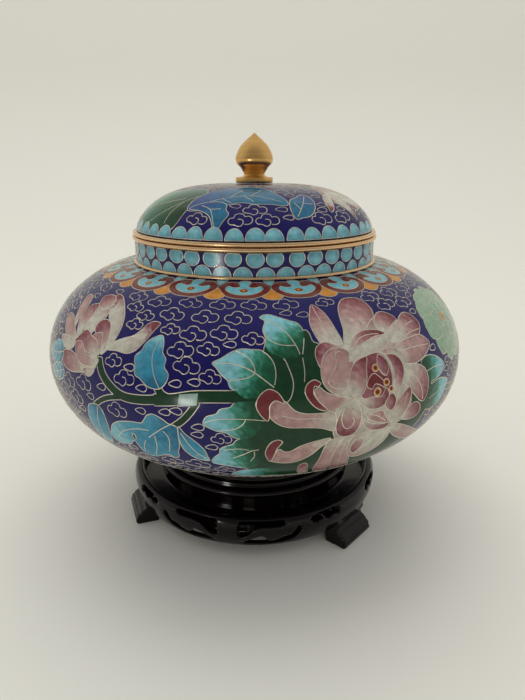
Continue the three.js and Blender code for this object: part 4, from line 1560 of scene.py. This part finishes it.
@dataclass
class LidPicture(Drawing):
    """Leaves and a pale flower round the lid, over a row of scales."""

    scales: int = 43
    scale_height: float = 5.4
    flower: Point = (70, 32)

    LID_PETALS = (
        ([(46, 25), (52, 36), (60, 45), (72, 48), (84, 44), (92, 34), (90, 22), (80, 15), (66, 16),
         (54, 20)], (70, 32), (50, 40), WHITE_PETAL),
        ([(39, 12.8), (42, 14), (45.5, 18), (50, 24), (56, 28), (50, 29), (43, 24), (40, 18.5)], (54, 28),
         (39.6, 13), WHITE_PETAL),
        ([(48, 19.4), (50, 17), (53, 12), (55.4, 6.8), (57, 12), (58, 18), (62, 26), (54, 24)], (60, 25),
         (54.6, 7), WHITE_PETAL),
        ([(58, 14.4), (62, 18), (67, 22), (68, 27), (74, 24), (76, 18), (70, 13), (63, 12.4)], (70, 26),
         (62, 12), WHITE_PETAL),
    )
    LID_LEAVES = (
        ([(-34, 14), (-36, 6), (-41, 2.4), (-54, 2), (-66, 2.6), (-75, 8), (-78, 18), (-72, 30), (-58, 38),
         (-44, 40), (-34, 36), (-31, 26)], (-36, 16), (-70, 28), LID_GREEN_LEAF, [(-35, 27), (-46, 15),
         (-56, 6)], [(-40, 20), (-43, 13), (-43.6, 6)], [(-42, 24), (-54, 19), (-72, 13)]),
        ([(-33, 14), (-35, 19), (-34, 26), (-30, 36), (-23, 44), (-13, 50), (-3, 52), (6, 48), (11, 40),
         (14, 31), (17.4, 23), (17, 19), (13.6, 18.4), (8, 19.6), (0, 19.8), (-6, 21), (-12, 19.6),
         (-16, 18), (-24, 15)], (-34, 18), (17, 24), LID_BLUE_LEAF, [(-26, 20), (-14, 27), (0, 29),
         (14, 22)], [(-18, 25), (-12, 21)], [(-6, 28.6), (0, 22)], [(-14, 27), (-8, 40)], [(-2, 29),
         (5, 40)]),
        ([(-33, 15.4), (-27, 14.4), (-22, 12.4), (-19, 9), (-16.4, 3.2), (-13.4, 8.6), (-11.6, 12.6),
         (-13.4, 15.6), (-14, 19.4), (-19, 21.6), (-27, 20)], (-27, 19), (-16, 4), LID_BLUE_LEAF,
         [(-27, 18), (-21, 15), (-17, 6)], [(-21.6, 15.4), (-16, 16)]),
        ([(18.4, 9.8), (17.4, 16), (19.5, 23), (24, 26), (30, 29.4), (33.4, 26), (33, 20), (30, 14.5),
         (26, 11), (22, 10.2)], (31, 27), (19, 10), LID_BLUE_LEAF, [(19.6, 11), (24.6, 18), (30.4, 27)],
         [(22.6, 15.4), (21, 20.4)], [(26, 20), (31, 19)]),
    )

    def draw(self, half_turn: float) -> None:
        """Draws the whole lid.

        Args:
            half_turn: half the length of the lid's foot.
        """
        leafy = {"rim": Tint.LAGOON, "rim_share": 0.2, "flecks": 0.1}
        for shift in (0.0, half_turn):
            self.shift = shift
            self.forms(self.LID_PETALS)
            self.petals(self.flower, range(-45, 190, 47), (18, 15), 10, BLUSH_PETAL, 0.05)
            self.patch(ellipse(self.flower, 5, 5, 10), Tint.AMBER)
            self.forms(self.LID_LEAVES, **leafy)
        self.shift = 0.0
        ScaleRow(self.scales, foot=0.3, height=self.scale_height, fill=0.97).draw(self, half_turn)


# Pieces of the jar


def quarter_curve(rise: float, edge: float, powers: Point, widest: float, steps: int) -> np.ndarray:
    """Gives a quarter of a full, slightly squared curve, from the widest ring to the edge.

    Args:
        rise: height gained, negative for a curve that goes down.
        edge: radius at the end.
        powers: how square it is in height and in radius.
        widest: radius at the start.
        steps: steps along it.

    Returns:
        Radius and height, one row each.
    """
    angle = np.linspace(0, math.pi / 2, steps + 1)
    height = rise * np.sin(angle) ** (2 / powers[0])
    radius = edge + (widest - edge) * np.maximum(np.cos(angle), 0) ** (2 / powers[1])
    radius[-1] = edge
    return np.stack([radius, height], axis=1)


@dataclass
class Jar:
    """The jar's body: foot ring, belly and collar, hollow, with its wires and the band at the collar."""

    belly_radius: float = 100.0
    belly_height: float = 90.0
    wall: float = 2.5
    shoulder_rise: float = 41.67
    shoulder_powers: Point = (2.09, 1.69)
    underside_rise: float = -43.5
    underside_edge: float = 38.0
    underside_powers: Point = (2.035, 2.285)
    collar_radius: float = 57.3
    collar_top: float = 142.3
    collar_steps: int = 41
    scales: int = 42
    mouth_radius: float = 54.8
    foot_bottom: float = 38.8
    foot_outer: float = 40.0
    foot_inner: float = 36.4
    foot_lip: float = 40.2
    foot_neck: float = 42.0
    band_height: float = 1.7
    band_proud: float = 1.1
    band_sunk: float = 0.3
    band_drop: float = 0.2
    curve_steps: int = 160
    inner_stride: int = 8
    cloud_levels: Point = (-102.0, 50.2)

    @property
    def shoulder(self) -> float:
        """Height of the collar's foot."""
        return self.belly_height + self.shoulder_rise

    @property
    def base(self) -> float:
        """Height of the belly's lowest point."""
        return self.belly_height + self.underside_rise

    def belly_line(self) -> np.ndarray:
        """Gives the belly's profile from its base to the collar.

        Returns:
            Radius and height, one row each.
        """
        ends = (self.belly_radius, self.curve_steps)
        below = quarter_curve(self.underside_rise, self.underside_edge, self.underside_powers, *ends)
        above = quarter_curve(self.shoulder_rise, self.collar_radius, self.shoulder_powers, *ends)
        return np.concatenate([below[::-1], above[1:]]) + np.array([0.0, self.belly_height])

    def build(self, finishes: Finishes, tree: bpy.types.GeometryNodeTree) -> None:
        """Makes the body and its wires.

        Args:
            finishes: the shared finishes.
            tree: the wire tree.
        """
        belly = TurnedWall(self.belly_line(), self.belly_radius, self.belly_height)
        picture = BellyPicture()
        picture.draw(belly.half_turn)
        belly_skin = EnamelSkin(belly, picture)

        heights = np.linspace(self.shoulder, self.collar_top, self.collar_steps)
        upright = np.stack([np.full(self.collar_steps, self.collar_radius), heights], axis=1)
        collar = TurnedWall(upright, self.collar_radius, self.shoulder)
        rows = Drawing()
        top = self.collar_top - self.shoulder - 0.1
        standing = ScaleRow(self.scales, foot=self.band_height * 0.7, height=4.2, fill=0.9)
        rounded = {"hangs": True, "phase": 0.0, "past_half": 0.75}
        hanging = ScaleRow(self.scales, foot=top, height=5.5, fill=0.83, **rounded)
        for row in (standing, hanging):
            row.draw(rows, collar.half_turn)
        collar_skin = EnamelSkin(collar, rows, fine_step=1.1)

        body = belly_skin.shell.joined(collar_skin.shell).joined(self._foot()).joined(self._inside())
        deliver(body.piece("jar_enamel", finishes.enamel), Slot.ENAMEL, "jar_body")
        belly_work = WireWork(tree, belly, finishes.wire)
        collar_work = WireWork(tree, collar, finishes.wire)
        deliver(belly_work.fence("jar_picture_wires", belly_skin), Slot.BRASS)
        deliver(collar_work.fence("collar_scale_wires", collar_skin), Slot.BRASS)
        for piece in CloudField(belly_skin, *self.cloud_levels).pieces(belly_work, "jar"):
            deliver(piece, Slot.BRASS)
        deliver(self._collar_band().piece("collar_band", finishes.rim), Slot.BRASS)

    def _foot(self) -> Shell:
        """Turns the underside and the foot ring.

        Returns:
            The turned shell.
        """
        inner, outer, edge, base = self.foot_inner, self.foot_outer, self.underside_edge, self.base
        ring = [(inner, base), (inner, self.foot_bottom), (outer, self.foot_bottom), (outer, self.foot_lip)]
        return turn([(0, base), *ring, (edge, self.foot_neck), (edge, base)])

    def _inside(self) -> Shell:
        """Turns the rim of the mouth, the inner wall and the floor.

        Returns:
            The turned shell.
        """
        line = self.belly_line()
        inner = (line - self.wall * right_normals(line))[:: -self.inner_stride]
        floor = self.base + self.wall
        inner = inner[(inner[:, 0] > self.mouth_radius) | (inner[:, 1] < self.belly_height)]
        mouth = [(self.mouth_radius, self.collar_top), (self.mouth_radius, self.shoulder - self.wall)]
        below = [*inner[inner[:, 1] > floor], (self.underside_edge, floor), (0, floor)]
        return turn([(self.collar_radius, self.collar_top), *mouth, *below], Tint.TURQUOISE)

    def _collar_band(self) -> Shell:
        """Turns the half-round brass band at the collar's foot.

        Returns:
            The turned shell.
        """
        half, low = self.band_height / 2, self.shoulder - self.band_drop
        back = self.collar_radius - self.band_sunk
        swell = [
            (self.collar_radius + self.band_proud * math.cos(angle), low + half + half * math.sin(angle))
            for angle in np.radians(np.linspace(-90, 90, 9))
        ]
        return turn([(back, low), *swell, (back, low + self.band_height), (back, low)], Tint.AMBER)


@dataclass
class Lid:
    """The lid's enamelled dome, with its wires."""

    bottom: float = 146.7
    radius: float = 56.3
    rise: float = 20.45
    powers: Point = (1.53, 3.57)
    wall: float = 2.2
    crown_radius: float = 6.0
    inner_crown: float = 0.5
    curve_steps: int = 240
    inner_stride: int = 8
    cloud_levels: Point = (8.0, 67.0)
    cloud_pitch: float = 11.2
    cloud_row_rise: float = 6.2

    def build(self, finishes: Finishes, tree: bpy.types.GeometryNodeTree) -> None:
        """Makes the dome and its wires.

        Args:
            finishes: the shared finishes.
            tree: the wire tree.
        """
        line = quarter_curve(self.rise, 0.0, self.powers, self.radius, self.curve_steps)
        line[:, 1] += self.bottom
        outside = line[line[:, 0] > self.crown_radius]
        dome = TurnedWall(outside, self.radius, self.bottom)
        picture = LidPicture()
        picture.draw(dome.half_turn)
        skin = EnamelSkin(dome, picture, fine_step=1.2)
        stride = self.inner_stride
        inner = (line - self.wall * right_normals(line))[stride:-stride:stride]
        inner = inner[(inner[:, 1] > self.bottom) & (inner[:, 0] > self.inner_crown)]
        top = self.bottom + self.rise
        crown = turn([outside[-1], (0, top)])
        foot = [(self.radius - self.wall, self.bottom), (self.radius, self.bottom)]
        under = turn([(0, top - self.wall), *inner[::-1], *foot], Tint.TURQUOISE)
        shell = skin.shell.joined(crown).joined(under)
        deliver(shell.piece("lid_enamel", finishes.enamel), Slot.ENAMEL, "lid_dome")
        work = WireWork(tree, dome, finishes.wire)
        deliver(work.fence("lid_picture_wires", skin), Slot.BRASS)
        clouds = CloudField(skin, *self.cloud_levels, self.cloud_pitch, self.cloud_row_rise)
        for piece in clouds.pieces(work, "lid"):
            deliver(piece, Slot.BRASS)


@dataclass
class Rims:
    """The brass bands of the jar's mouth and of the lid, which meet where the lid rests."""

    mouth_radius: float = 54.8
    jar_outer: float = 58.4
    jar_bottom: float = 142.6
    jar_top: float = 144.4
    lid_outer: float = 58.0
    lid_bottom: float = 144.7
    lid_top: float = 146.4
    flange_outer: float = 54.2
    flange_inner: float = 52.6
    flange_bottom: float = 139.5
    round_share: float = 0.42

    def build(self, finishes: Finishes) -> None:
        """Makes both bands.

        Args:
            finishes: the shared finishes.
        """
        start = (self.mouth_radius, self.jar_bottom)
        side = self._side(self.jar_outer, self.jar_bottom, self.jar_top)
        jar = turn([start, *side, (self.mouth_radius, self.jar_top), start])
        deliver(jar.piece("jar_band", finishes.rim), Slot.BRASS, "jar_rim")
        start = (self.flange_inner, self.flange_bottom)
        flange = [start, (self.flange_outer, self.flange_bottom), (self.flange_outer, self.lid_bottom)]
        side = self._side(self.lid_outer, self.lid_bottom, self.lid_top)
        lid = turn([*flange, *side, (self.flange_inner, self.lid_top), start])
        deliver(lid.piece("lid_band", finishes.rim), Slot.BRASS, "lid_rim")

    def _side(self, outer: float, bottom: float, top: float) -> list[Point]:
        """Gives a band's outer side with well rounded edges.

        Args:
            outer: its radius.
            bottom: its lower edge.
            top: its upper edge.

        Returns:
            Radius and height from the bottom up.
        """
        rounding = (top - bottom) * self.round_share
        middle = outer - rounding
        points = []
        for centre, angles in ((bottom + rounding, (-90, -60, -30, 0)), (top - rounding, (0, 30, 60, 90))):
            for angle in np.radians(angles):
                points.append((middle + rounding * math.cos(angle), centre + rounding * math.sin(angle)))
        return points


@dataclass
class Finial:
    """The turned brass finial: a disc, a neck and a pointed bud."""

    foot: float = 167.45
    disc: float = 8.8
    disc_height: float = 2.5
    disc_edge: float = 0.5
    neck: float = 4.8
    neck_height: float = 4.2
    bud: float = 8.8
    bud_height: float = 11.0
    tip: float = 189.7
    columns: int = 96

    # Radius and height of the bud's lower swell, and shares of radius and height above its widest ring
    SWELL = ((6.8, 174.6), (8.36, 176.25))
    POINT = ((0.9, 0.24), (0.73, 0.48), (0.48, 0.68), (0.24, 0.84), (0.085, 0.95))

    def build(self, finishes: Finishes) -> None:
        """Makes the finial.

        Args:
            finishes: the shared finishes.
        """
        widest = self.foot + self.bud_height
        edge, top, neck_top = self.disc_edge, self.foot + self.disc_height, self.foot + self.neck_height
        bud = [(self.neck + 0.3, neck_top + 0.4), *self.SWELL, (self.bud, widest)]
        bud += [(self.bud * side, widest + (self.tip - widest) * up) for side, up in self.POINT]
        profile = [(0.0, self.foot)]
        for centre, start in ((self.foot + edge, -math.pi / 2), (top - edge, 0.0)):
            for angle in (start, start + 0.8, start + math.pi / 2):
                profile.append((self.disc - edge + edge * math.cos(angle), centre + edge * math.sin(angle)))
        profile += [(self.neck + 1.6, top + 0.1), (self.neck + 0.4, top + 0.6), (self.neck, neck_top - 0.4)]
        bud.append((0.0, self.tip))
        profile += [(max(radius, 0.0), height) for radius, height in spline(bud, False, 5)]
        shell = turn(profile, columns=self.columns)
        deliver(shell.piece("bud_finial", finishes.brass), Slot.BRASS, "finial")


@dataclass
class CarvedStand:
    """The wooden stand: a turned seat, and a pierced apron on three legs with rolled toes."""

    leg_azimuths: tuple[float, ...] = (49.0, 169.0, -71.0)
    leg_half_width: float = 11.4
    bay_turn: float = -60.0
    pierce_from: float = 58.2
    pierce_to: float = 76.0
    apron_columns: int = 180
    voxel: float = 0.53
    smoothing: int = 5
    smoothing_share: float = 0.5

    # Profiles by radius and height
    SEAT = (
        (0, 32.5), (39.5, 32.5), (43.5, 27.6), (44.5, 16.2), (60.4, 16.2), (60.4, 19.5), (51.6, 19.5),
        (50.2, 20.4), (49.7, 22), (49.7, 26.6), (50.2, 27.2), (51.4, 27.6), (52.1, 28.5), (52.3, 29.6),
        (51.9, 30.6), (51, 31.3), (49.6, 31.6), (48.6, 31.7), (48.4, 32.3), (48.9, 32.9), (48.7, 33.6),
        (47.6, 34), (46.7, 34.3), (46.6, 34.9), (47, 35.5), (46.8, 36.3), (46.1, 36.8), (46, 41.2),
        (45.6, 41.5), (43.5, 41.5), (43.5, 38.5), (0, 38.5),
    )
    APRON = (
        (59.6, 9.8), (61.2, 9.6), (62.2, 10), (63.1, 11.6), (64, 13.8), (64.7, 16.2), (65, 18.5),
        (65, 20.4), (64.7, 22.2), (64.2, 23.6), (63.3, 24.6), (62.2, 25), (61, 24.9), (60.2, 24.3),
        (59.8, 23.2), (59.6, 16.2), (59.6, 9.8),
    )
    LEG = (
        (56, 0), (66.9, 0), (67.5, 0.4), (67.8, 1.4), (67.7, 2.4), (66.9, 3.3), (67.1, 4.3), (66.4, 5),
        (65.2, 5.7), (65.2, 6.4), (63.6, 7.2), (62.4, 8), (62.2, 9.4), (63.2, 11.4), (63.2, 17),
        (58.6, 17), (57, 13), (55, 9.8),
    )
    # Openings of half a bay, by degrees from its middle and height
    CORNER_SLOT = (
        (4.4, 16), (4.5, 22.8), (7, 23.7), (15, 23.8), (22.5, 23.6), (23.8, 22.4), (21.5, 21.2),
        (14.5, 21.1), (11, 19.8), (9, 17.4), (6.6, 15.8),
    )
    CRESCENT_SLOT = (
        (3.5, 12.1), (11, 11.6), (20, 11.6), (27, 13.2), (30.8, 17), (30.4, 19.6), (28.6, 19.6),
        (26.4, 15.9), (23.2, 15.5), (20.8, 13.6), (16.8, 13.4), (14.4, 16.2), (11, 15), (7, 13),
    )
    SIDE_SLOT = (
        (34.6, 20.6), (36, 22.9), (42, 23.5), (48, 23.3), (50, 21.6), (48.6, 19.9), (46, 20.6),
        (43.2, 19.4), (40.4, 20.6), (37.4, 19.6),
    )

    def build(self, finishes: Finishes) -> None:
        """Makes the stand as one piece.

        Args:
            finishes: the shared finishes.
        """
        slots = (self.CORNER_SLOT, self.CRESCENT_SLOT, self.SIDE_SLOT)
        bays = [azimuth + self.bay_turn for azimuth in self.leg_azimuths]
        openings = [self._slot(slot, bay, side) for bay in bays for side in (-1, 1) for slot in slots]
        cutter = self._prisms("slots", openings)
        apron = turn(self.APRON, columns=self.apron_columns).piece("stand_apron", finishes.wood)
        cut = apron.modifiers.new("pierce", "BOOLEAN")
        cut.operation, cut.solver, cut.object = "DIFFERENCE", "EXACT", cutter
        pierced = plain_mesh(apron)
        bpy.data.objects.remove(cutter)
        legs = self._prisms("stand_legs", [self._leg(azimuth) for azimuth in self.leg_azimuths])
        carved = self._merge("stand_carving", [pierced, legs])
        remesh = carved.modifiers.new("one body", "REMESH")
        remesh.mode, remesh.voxel_size = "VOXEL", self.voxel * MM
        soften = carved.modifiers.new("soft edges", "SMOOTH")
        soften.factor, soften.iterations = self.smoothing_share, self.smoothing
        seat = turn(self.SEAT).piece("stand_seat", finishes.wood)
        stand = self._merge("carved_stand", [plain_mesh(carved), seat])
        stand.data.materials.clear()
        stand.data.materials.append(finishes.wood)
        deliver(stand, Slot.WOOD, "stand")

    def _leg(self, azimuth: float) -> np.ndarray:
        """Gives one leg: its side view drawn out across its width.

        Args:
            azimuth: degrees from the front, towards the right.

        Returns:
            Points of its two sides.
        """
        side = np.array(self.LEG)
        sine, cosine = math.sin(math.radians(azimuth)), math.cos(math.radians(azimuth))
        out, across = np.array([sine, -cosine]), np.array([cosine, sine]) * self.leg_half_width
        flat = [side[:, :1] * out + sign * across for sign in (-1, 1)]
        return np.concatenate([np.concatenate(flat), np.tile(side[:, 1:], (2, 1))], axis=1)

    def _slot(self, outline: Sequence[Point], azimuth: float, side: int) -> np.ndarray:
        """Gives the cutter of one opening.

        Args:
            outline: degrees from the middle of the bay, and height.
            azimuth: middle of the bay.
            side: minus one for the mirrored half.

        Returns:
            Points of its inner and outer ends.
        """
        line = spline(outline, True, 4)
        around = np.radians(azimuth + side * line[:, 0])
        way = np.stack([np.sin(around), -np.cos(around)], axis=1)
        flat = np.concatenate([way * self.pierce_from, way * self.pierce_to])
        return np.concatenate([flat, np.tile(line[:, 1:], (2, 1))], axis=1)

    @staticmethod
    def _prisms(name: str, solids: list[np.ndarray]) -> bpy.types.Object:
        """Makes one helper object of several prisms, with faces that point outwards.

        Args:
            name: the object's name.
            solids: points of each, one end after the other.

        Returns:
            The helper, in the scene.
        """
        shaped = bmesh.new()
        for points in solids:
            corners = [shaped.verts.new(place) for place in points * MM]
            count = len(corners) // 2
            for i in range(count):
                following = (i + 1) % count
                picks = (i, following, count + following, count + i)
                shaped.faces.new([corners[k] for k in picks])
            shaped.faces.new(corners[:count][::-1])
            shaped.faces.new(corners[count:])
        bmesh.ops.recalc_face_normals(shaped, faces=shaped.faces)
        mesh = bpy.data.meshes.new(name)
        shaped.to_mesh(mesh)
        shaped.free()
        return in_scene(name, mesh)

    @staticmethod
    def _merge(name: str, parts: list[bpy.types.Object]) -> bpy.types.Object:
        """Makes one object of several; the parts are removed.

        Args:
            name: the new object's name.
            parts: objects at the origin.

        Returns:
            The new object, in the scene.
        """
        joined = bmesh.new()
        for part in parts:
            joined.from_mesh(part.data)
            bpy.data.objects.remove(part)
        mesh = bpy.data.meshes.new(name)
        joined.to_mesh(mesh)
        joined.free()
        mesh.shade_smooth()
        return in_scene(name, mesh)


@dataclass
class Studio:
    """The pale floor that sweeps up behind, soft light and the photograph's camera."""

    camera_back: float = 0.27703
    camera_height: float = 0.17504
    camera_pitch: float = 18.25
    camera_lens: float = 28.72
    camera_sensor: float = 36.0
    camera_near: float = 0.01
    axis_column: float = 254.3
    image_width: int = 525
    image_height: int = 700
    floor_front: float = -2.5
    sweep_start: float = 0.5
    sweep_radius: float = 0.35
    sweep_steps: int = 17
    wall_top: float = 2.4
    half_width: float = 2.2
    world_strength: float = 0.65
    world_colour: str = "#fbfaf6"
    lamp_colour: str = "#fffdf8"
    aim_height: float = 0.08
    dark_front: float = 0.4
    dark_range: Point = (-0.85, 0.15)

    def build(self, finishes: Finishes) -> None:
        """Makes the floor, the lights and the camera.

        Args:
            finishes: the shared finishes.
        """
        self._floor(finishes)
        # The window isn't mirrored, so it leaves no veil on the gloss, and the glint is only mirrored
        window = self._light("window", place=(-0.1, 0.45, 1.6), size=1.5, power=11.0)
        window.visible_glossy = False
        glint = self._light("low glint", place=(-0.26, -0.45, 0.05), size=0.06, power=0.22)
        glint.visible_diffuse = False
        scene = bpy.context.scene
        scene.view_settings.view_transform = "Standard"
        scene.world = self._room()
        lens = bpy.data.cameras.new("camera")
        lens.lens, lens.sensor_width, lens.clip_start = self.camera_lens, self.camera_sensor, self.camera_near
        lens.shift_x = (self.image_width / 2 - self.axis_column) / self.image_height
        scene.camera = in_scene("camera", lens)
        scene.camera.location = (0.0, -self.camera_back, self.camera_height)
        scene.camera.rotation_euler = (math.radians(90 - self.camera_pitch), 0.0, 0.0)

    def _room(self) -> bpy.types.World:
        """Makes the pale light from all around.

        Returns:
            The world.
        """
        world = bpy.data.worlds.new("pale room")
        world.use_nodes = True
        tree, bright = world.node_tree, self.world_strength
        way = add_node(tree, "ShaderNodeTexCoord")
        axes = add_node(tree, "ShaderNodeSeparateXYZ", {0: way.outputs["Generated"]})
        # What the gloss mirrors from the front is the darker half of the room
        low, high = self.dark_range
        fade = {0: axes.outputs["Y"], 1: low, 2: high, 3: self.dark_front * bright, 4: bright}
        mirrored = add_node(tree, "ShaderNodeMapRange", fade, interpolation_type="SMOOTHSTEP")
        ray = add_node(tree, "ShaderNodeLightPath")
        glossy = {0: ray.outputs["Is Glossy Ray"], 2: bright, 3: mirrored.outputs[0]}
        strength = add_node(tree, "ShaderNodeMix", glossy)
        sky = tree.nodes["Background"]
        sky.inputs["Color"].default_value = linear(self.world_colour)
        tree.links.new(strength.outputs[0], sky.inputs["Strength"])
        return world

    def _floor(self, finishes: Finishes) -> None:
        """Makes the floor with its sweep.

        Args:
            finishes: the shared finishes.
        """
        radius = self.sweep_radius
        line = [(self.floor_front, 0.0), (self.sweep_start, 0.0)]
        for angle in np.linspace(0, math.pi / 2, self.sweep_steps)[1:]:
            line.append((self.sweep_start + radius * math.sin(angle), radius * (1 - math.cos(angle))))
        line.append((line[-1][0], self.wall_top))
        points = [(side * self.half_width, y, z) for y, z in line for side in (-1, 1)]
        faces = [(2 * i, 2 * i + 1, 2 * i + 3, 2 * i + 2) for i in range(len(line) - 1)]
        mesh = bpy.data.meshes.new("floor")
        mesh.from_pydata(points, [], faces)
        mesh.shade_smooth()
        mesh.materials.append(finishes.floor)
        in_scene("floor", mesh)

    def _light(
        self, name: str, place: tuple[float, float, float], size: float, power: float
    ) -> bpy.types.Object:
        """Adds a soft square light that faces the jar.

        Args:
            name: its name.
            place: where it stands, in metres.
            size: its side in metres.
            power: its power in watts.

        Returns:
            The light, in the scene.
        """
        lamp = bpy.data.lights.new(name, "AREA")
        lamp.shape, lamp.size, lamp.energy, lamp.color = "SQUARE", size, power, linear(self.lamp_colour)[:3]
        light = in_scene(name, lamp)
        light.location = place
        way = Vector((0, 0, self.aim_height)) - Vector(place)
        light.rotation_euler = way.to_track_quat("-Z", "Y").to_euler()
        return light


def main() -> None:
    """Builds the pieces in order and notes the size of the result."""
    logging.basicConfig(level=logging.INFO, format="%(name)s: %(message)s")
    finishes = Finishes()
    tree = wire_tree()
    Studio().build(finishes)
    CarvedStand().build(finishes)
    Jar().build(finishes, tree)
    Rims().build(finishes)
    Lid().build(finishes, tree)
    Finial().build(finishes)


if __name__ == "__main__":
    main()
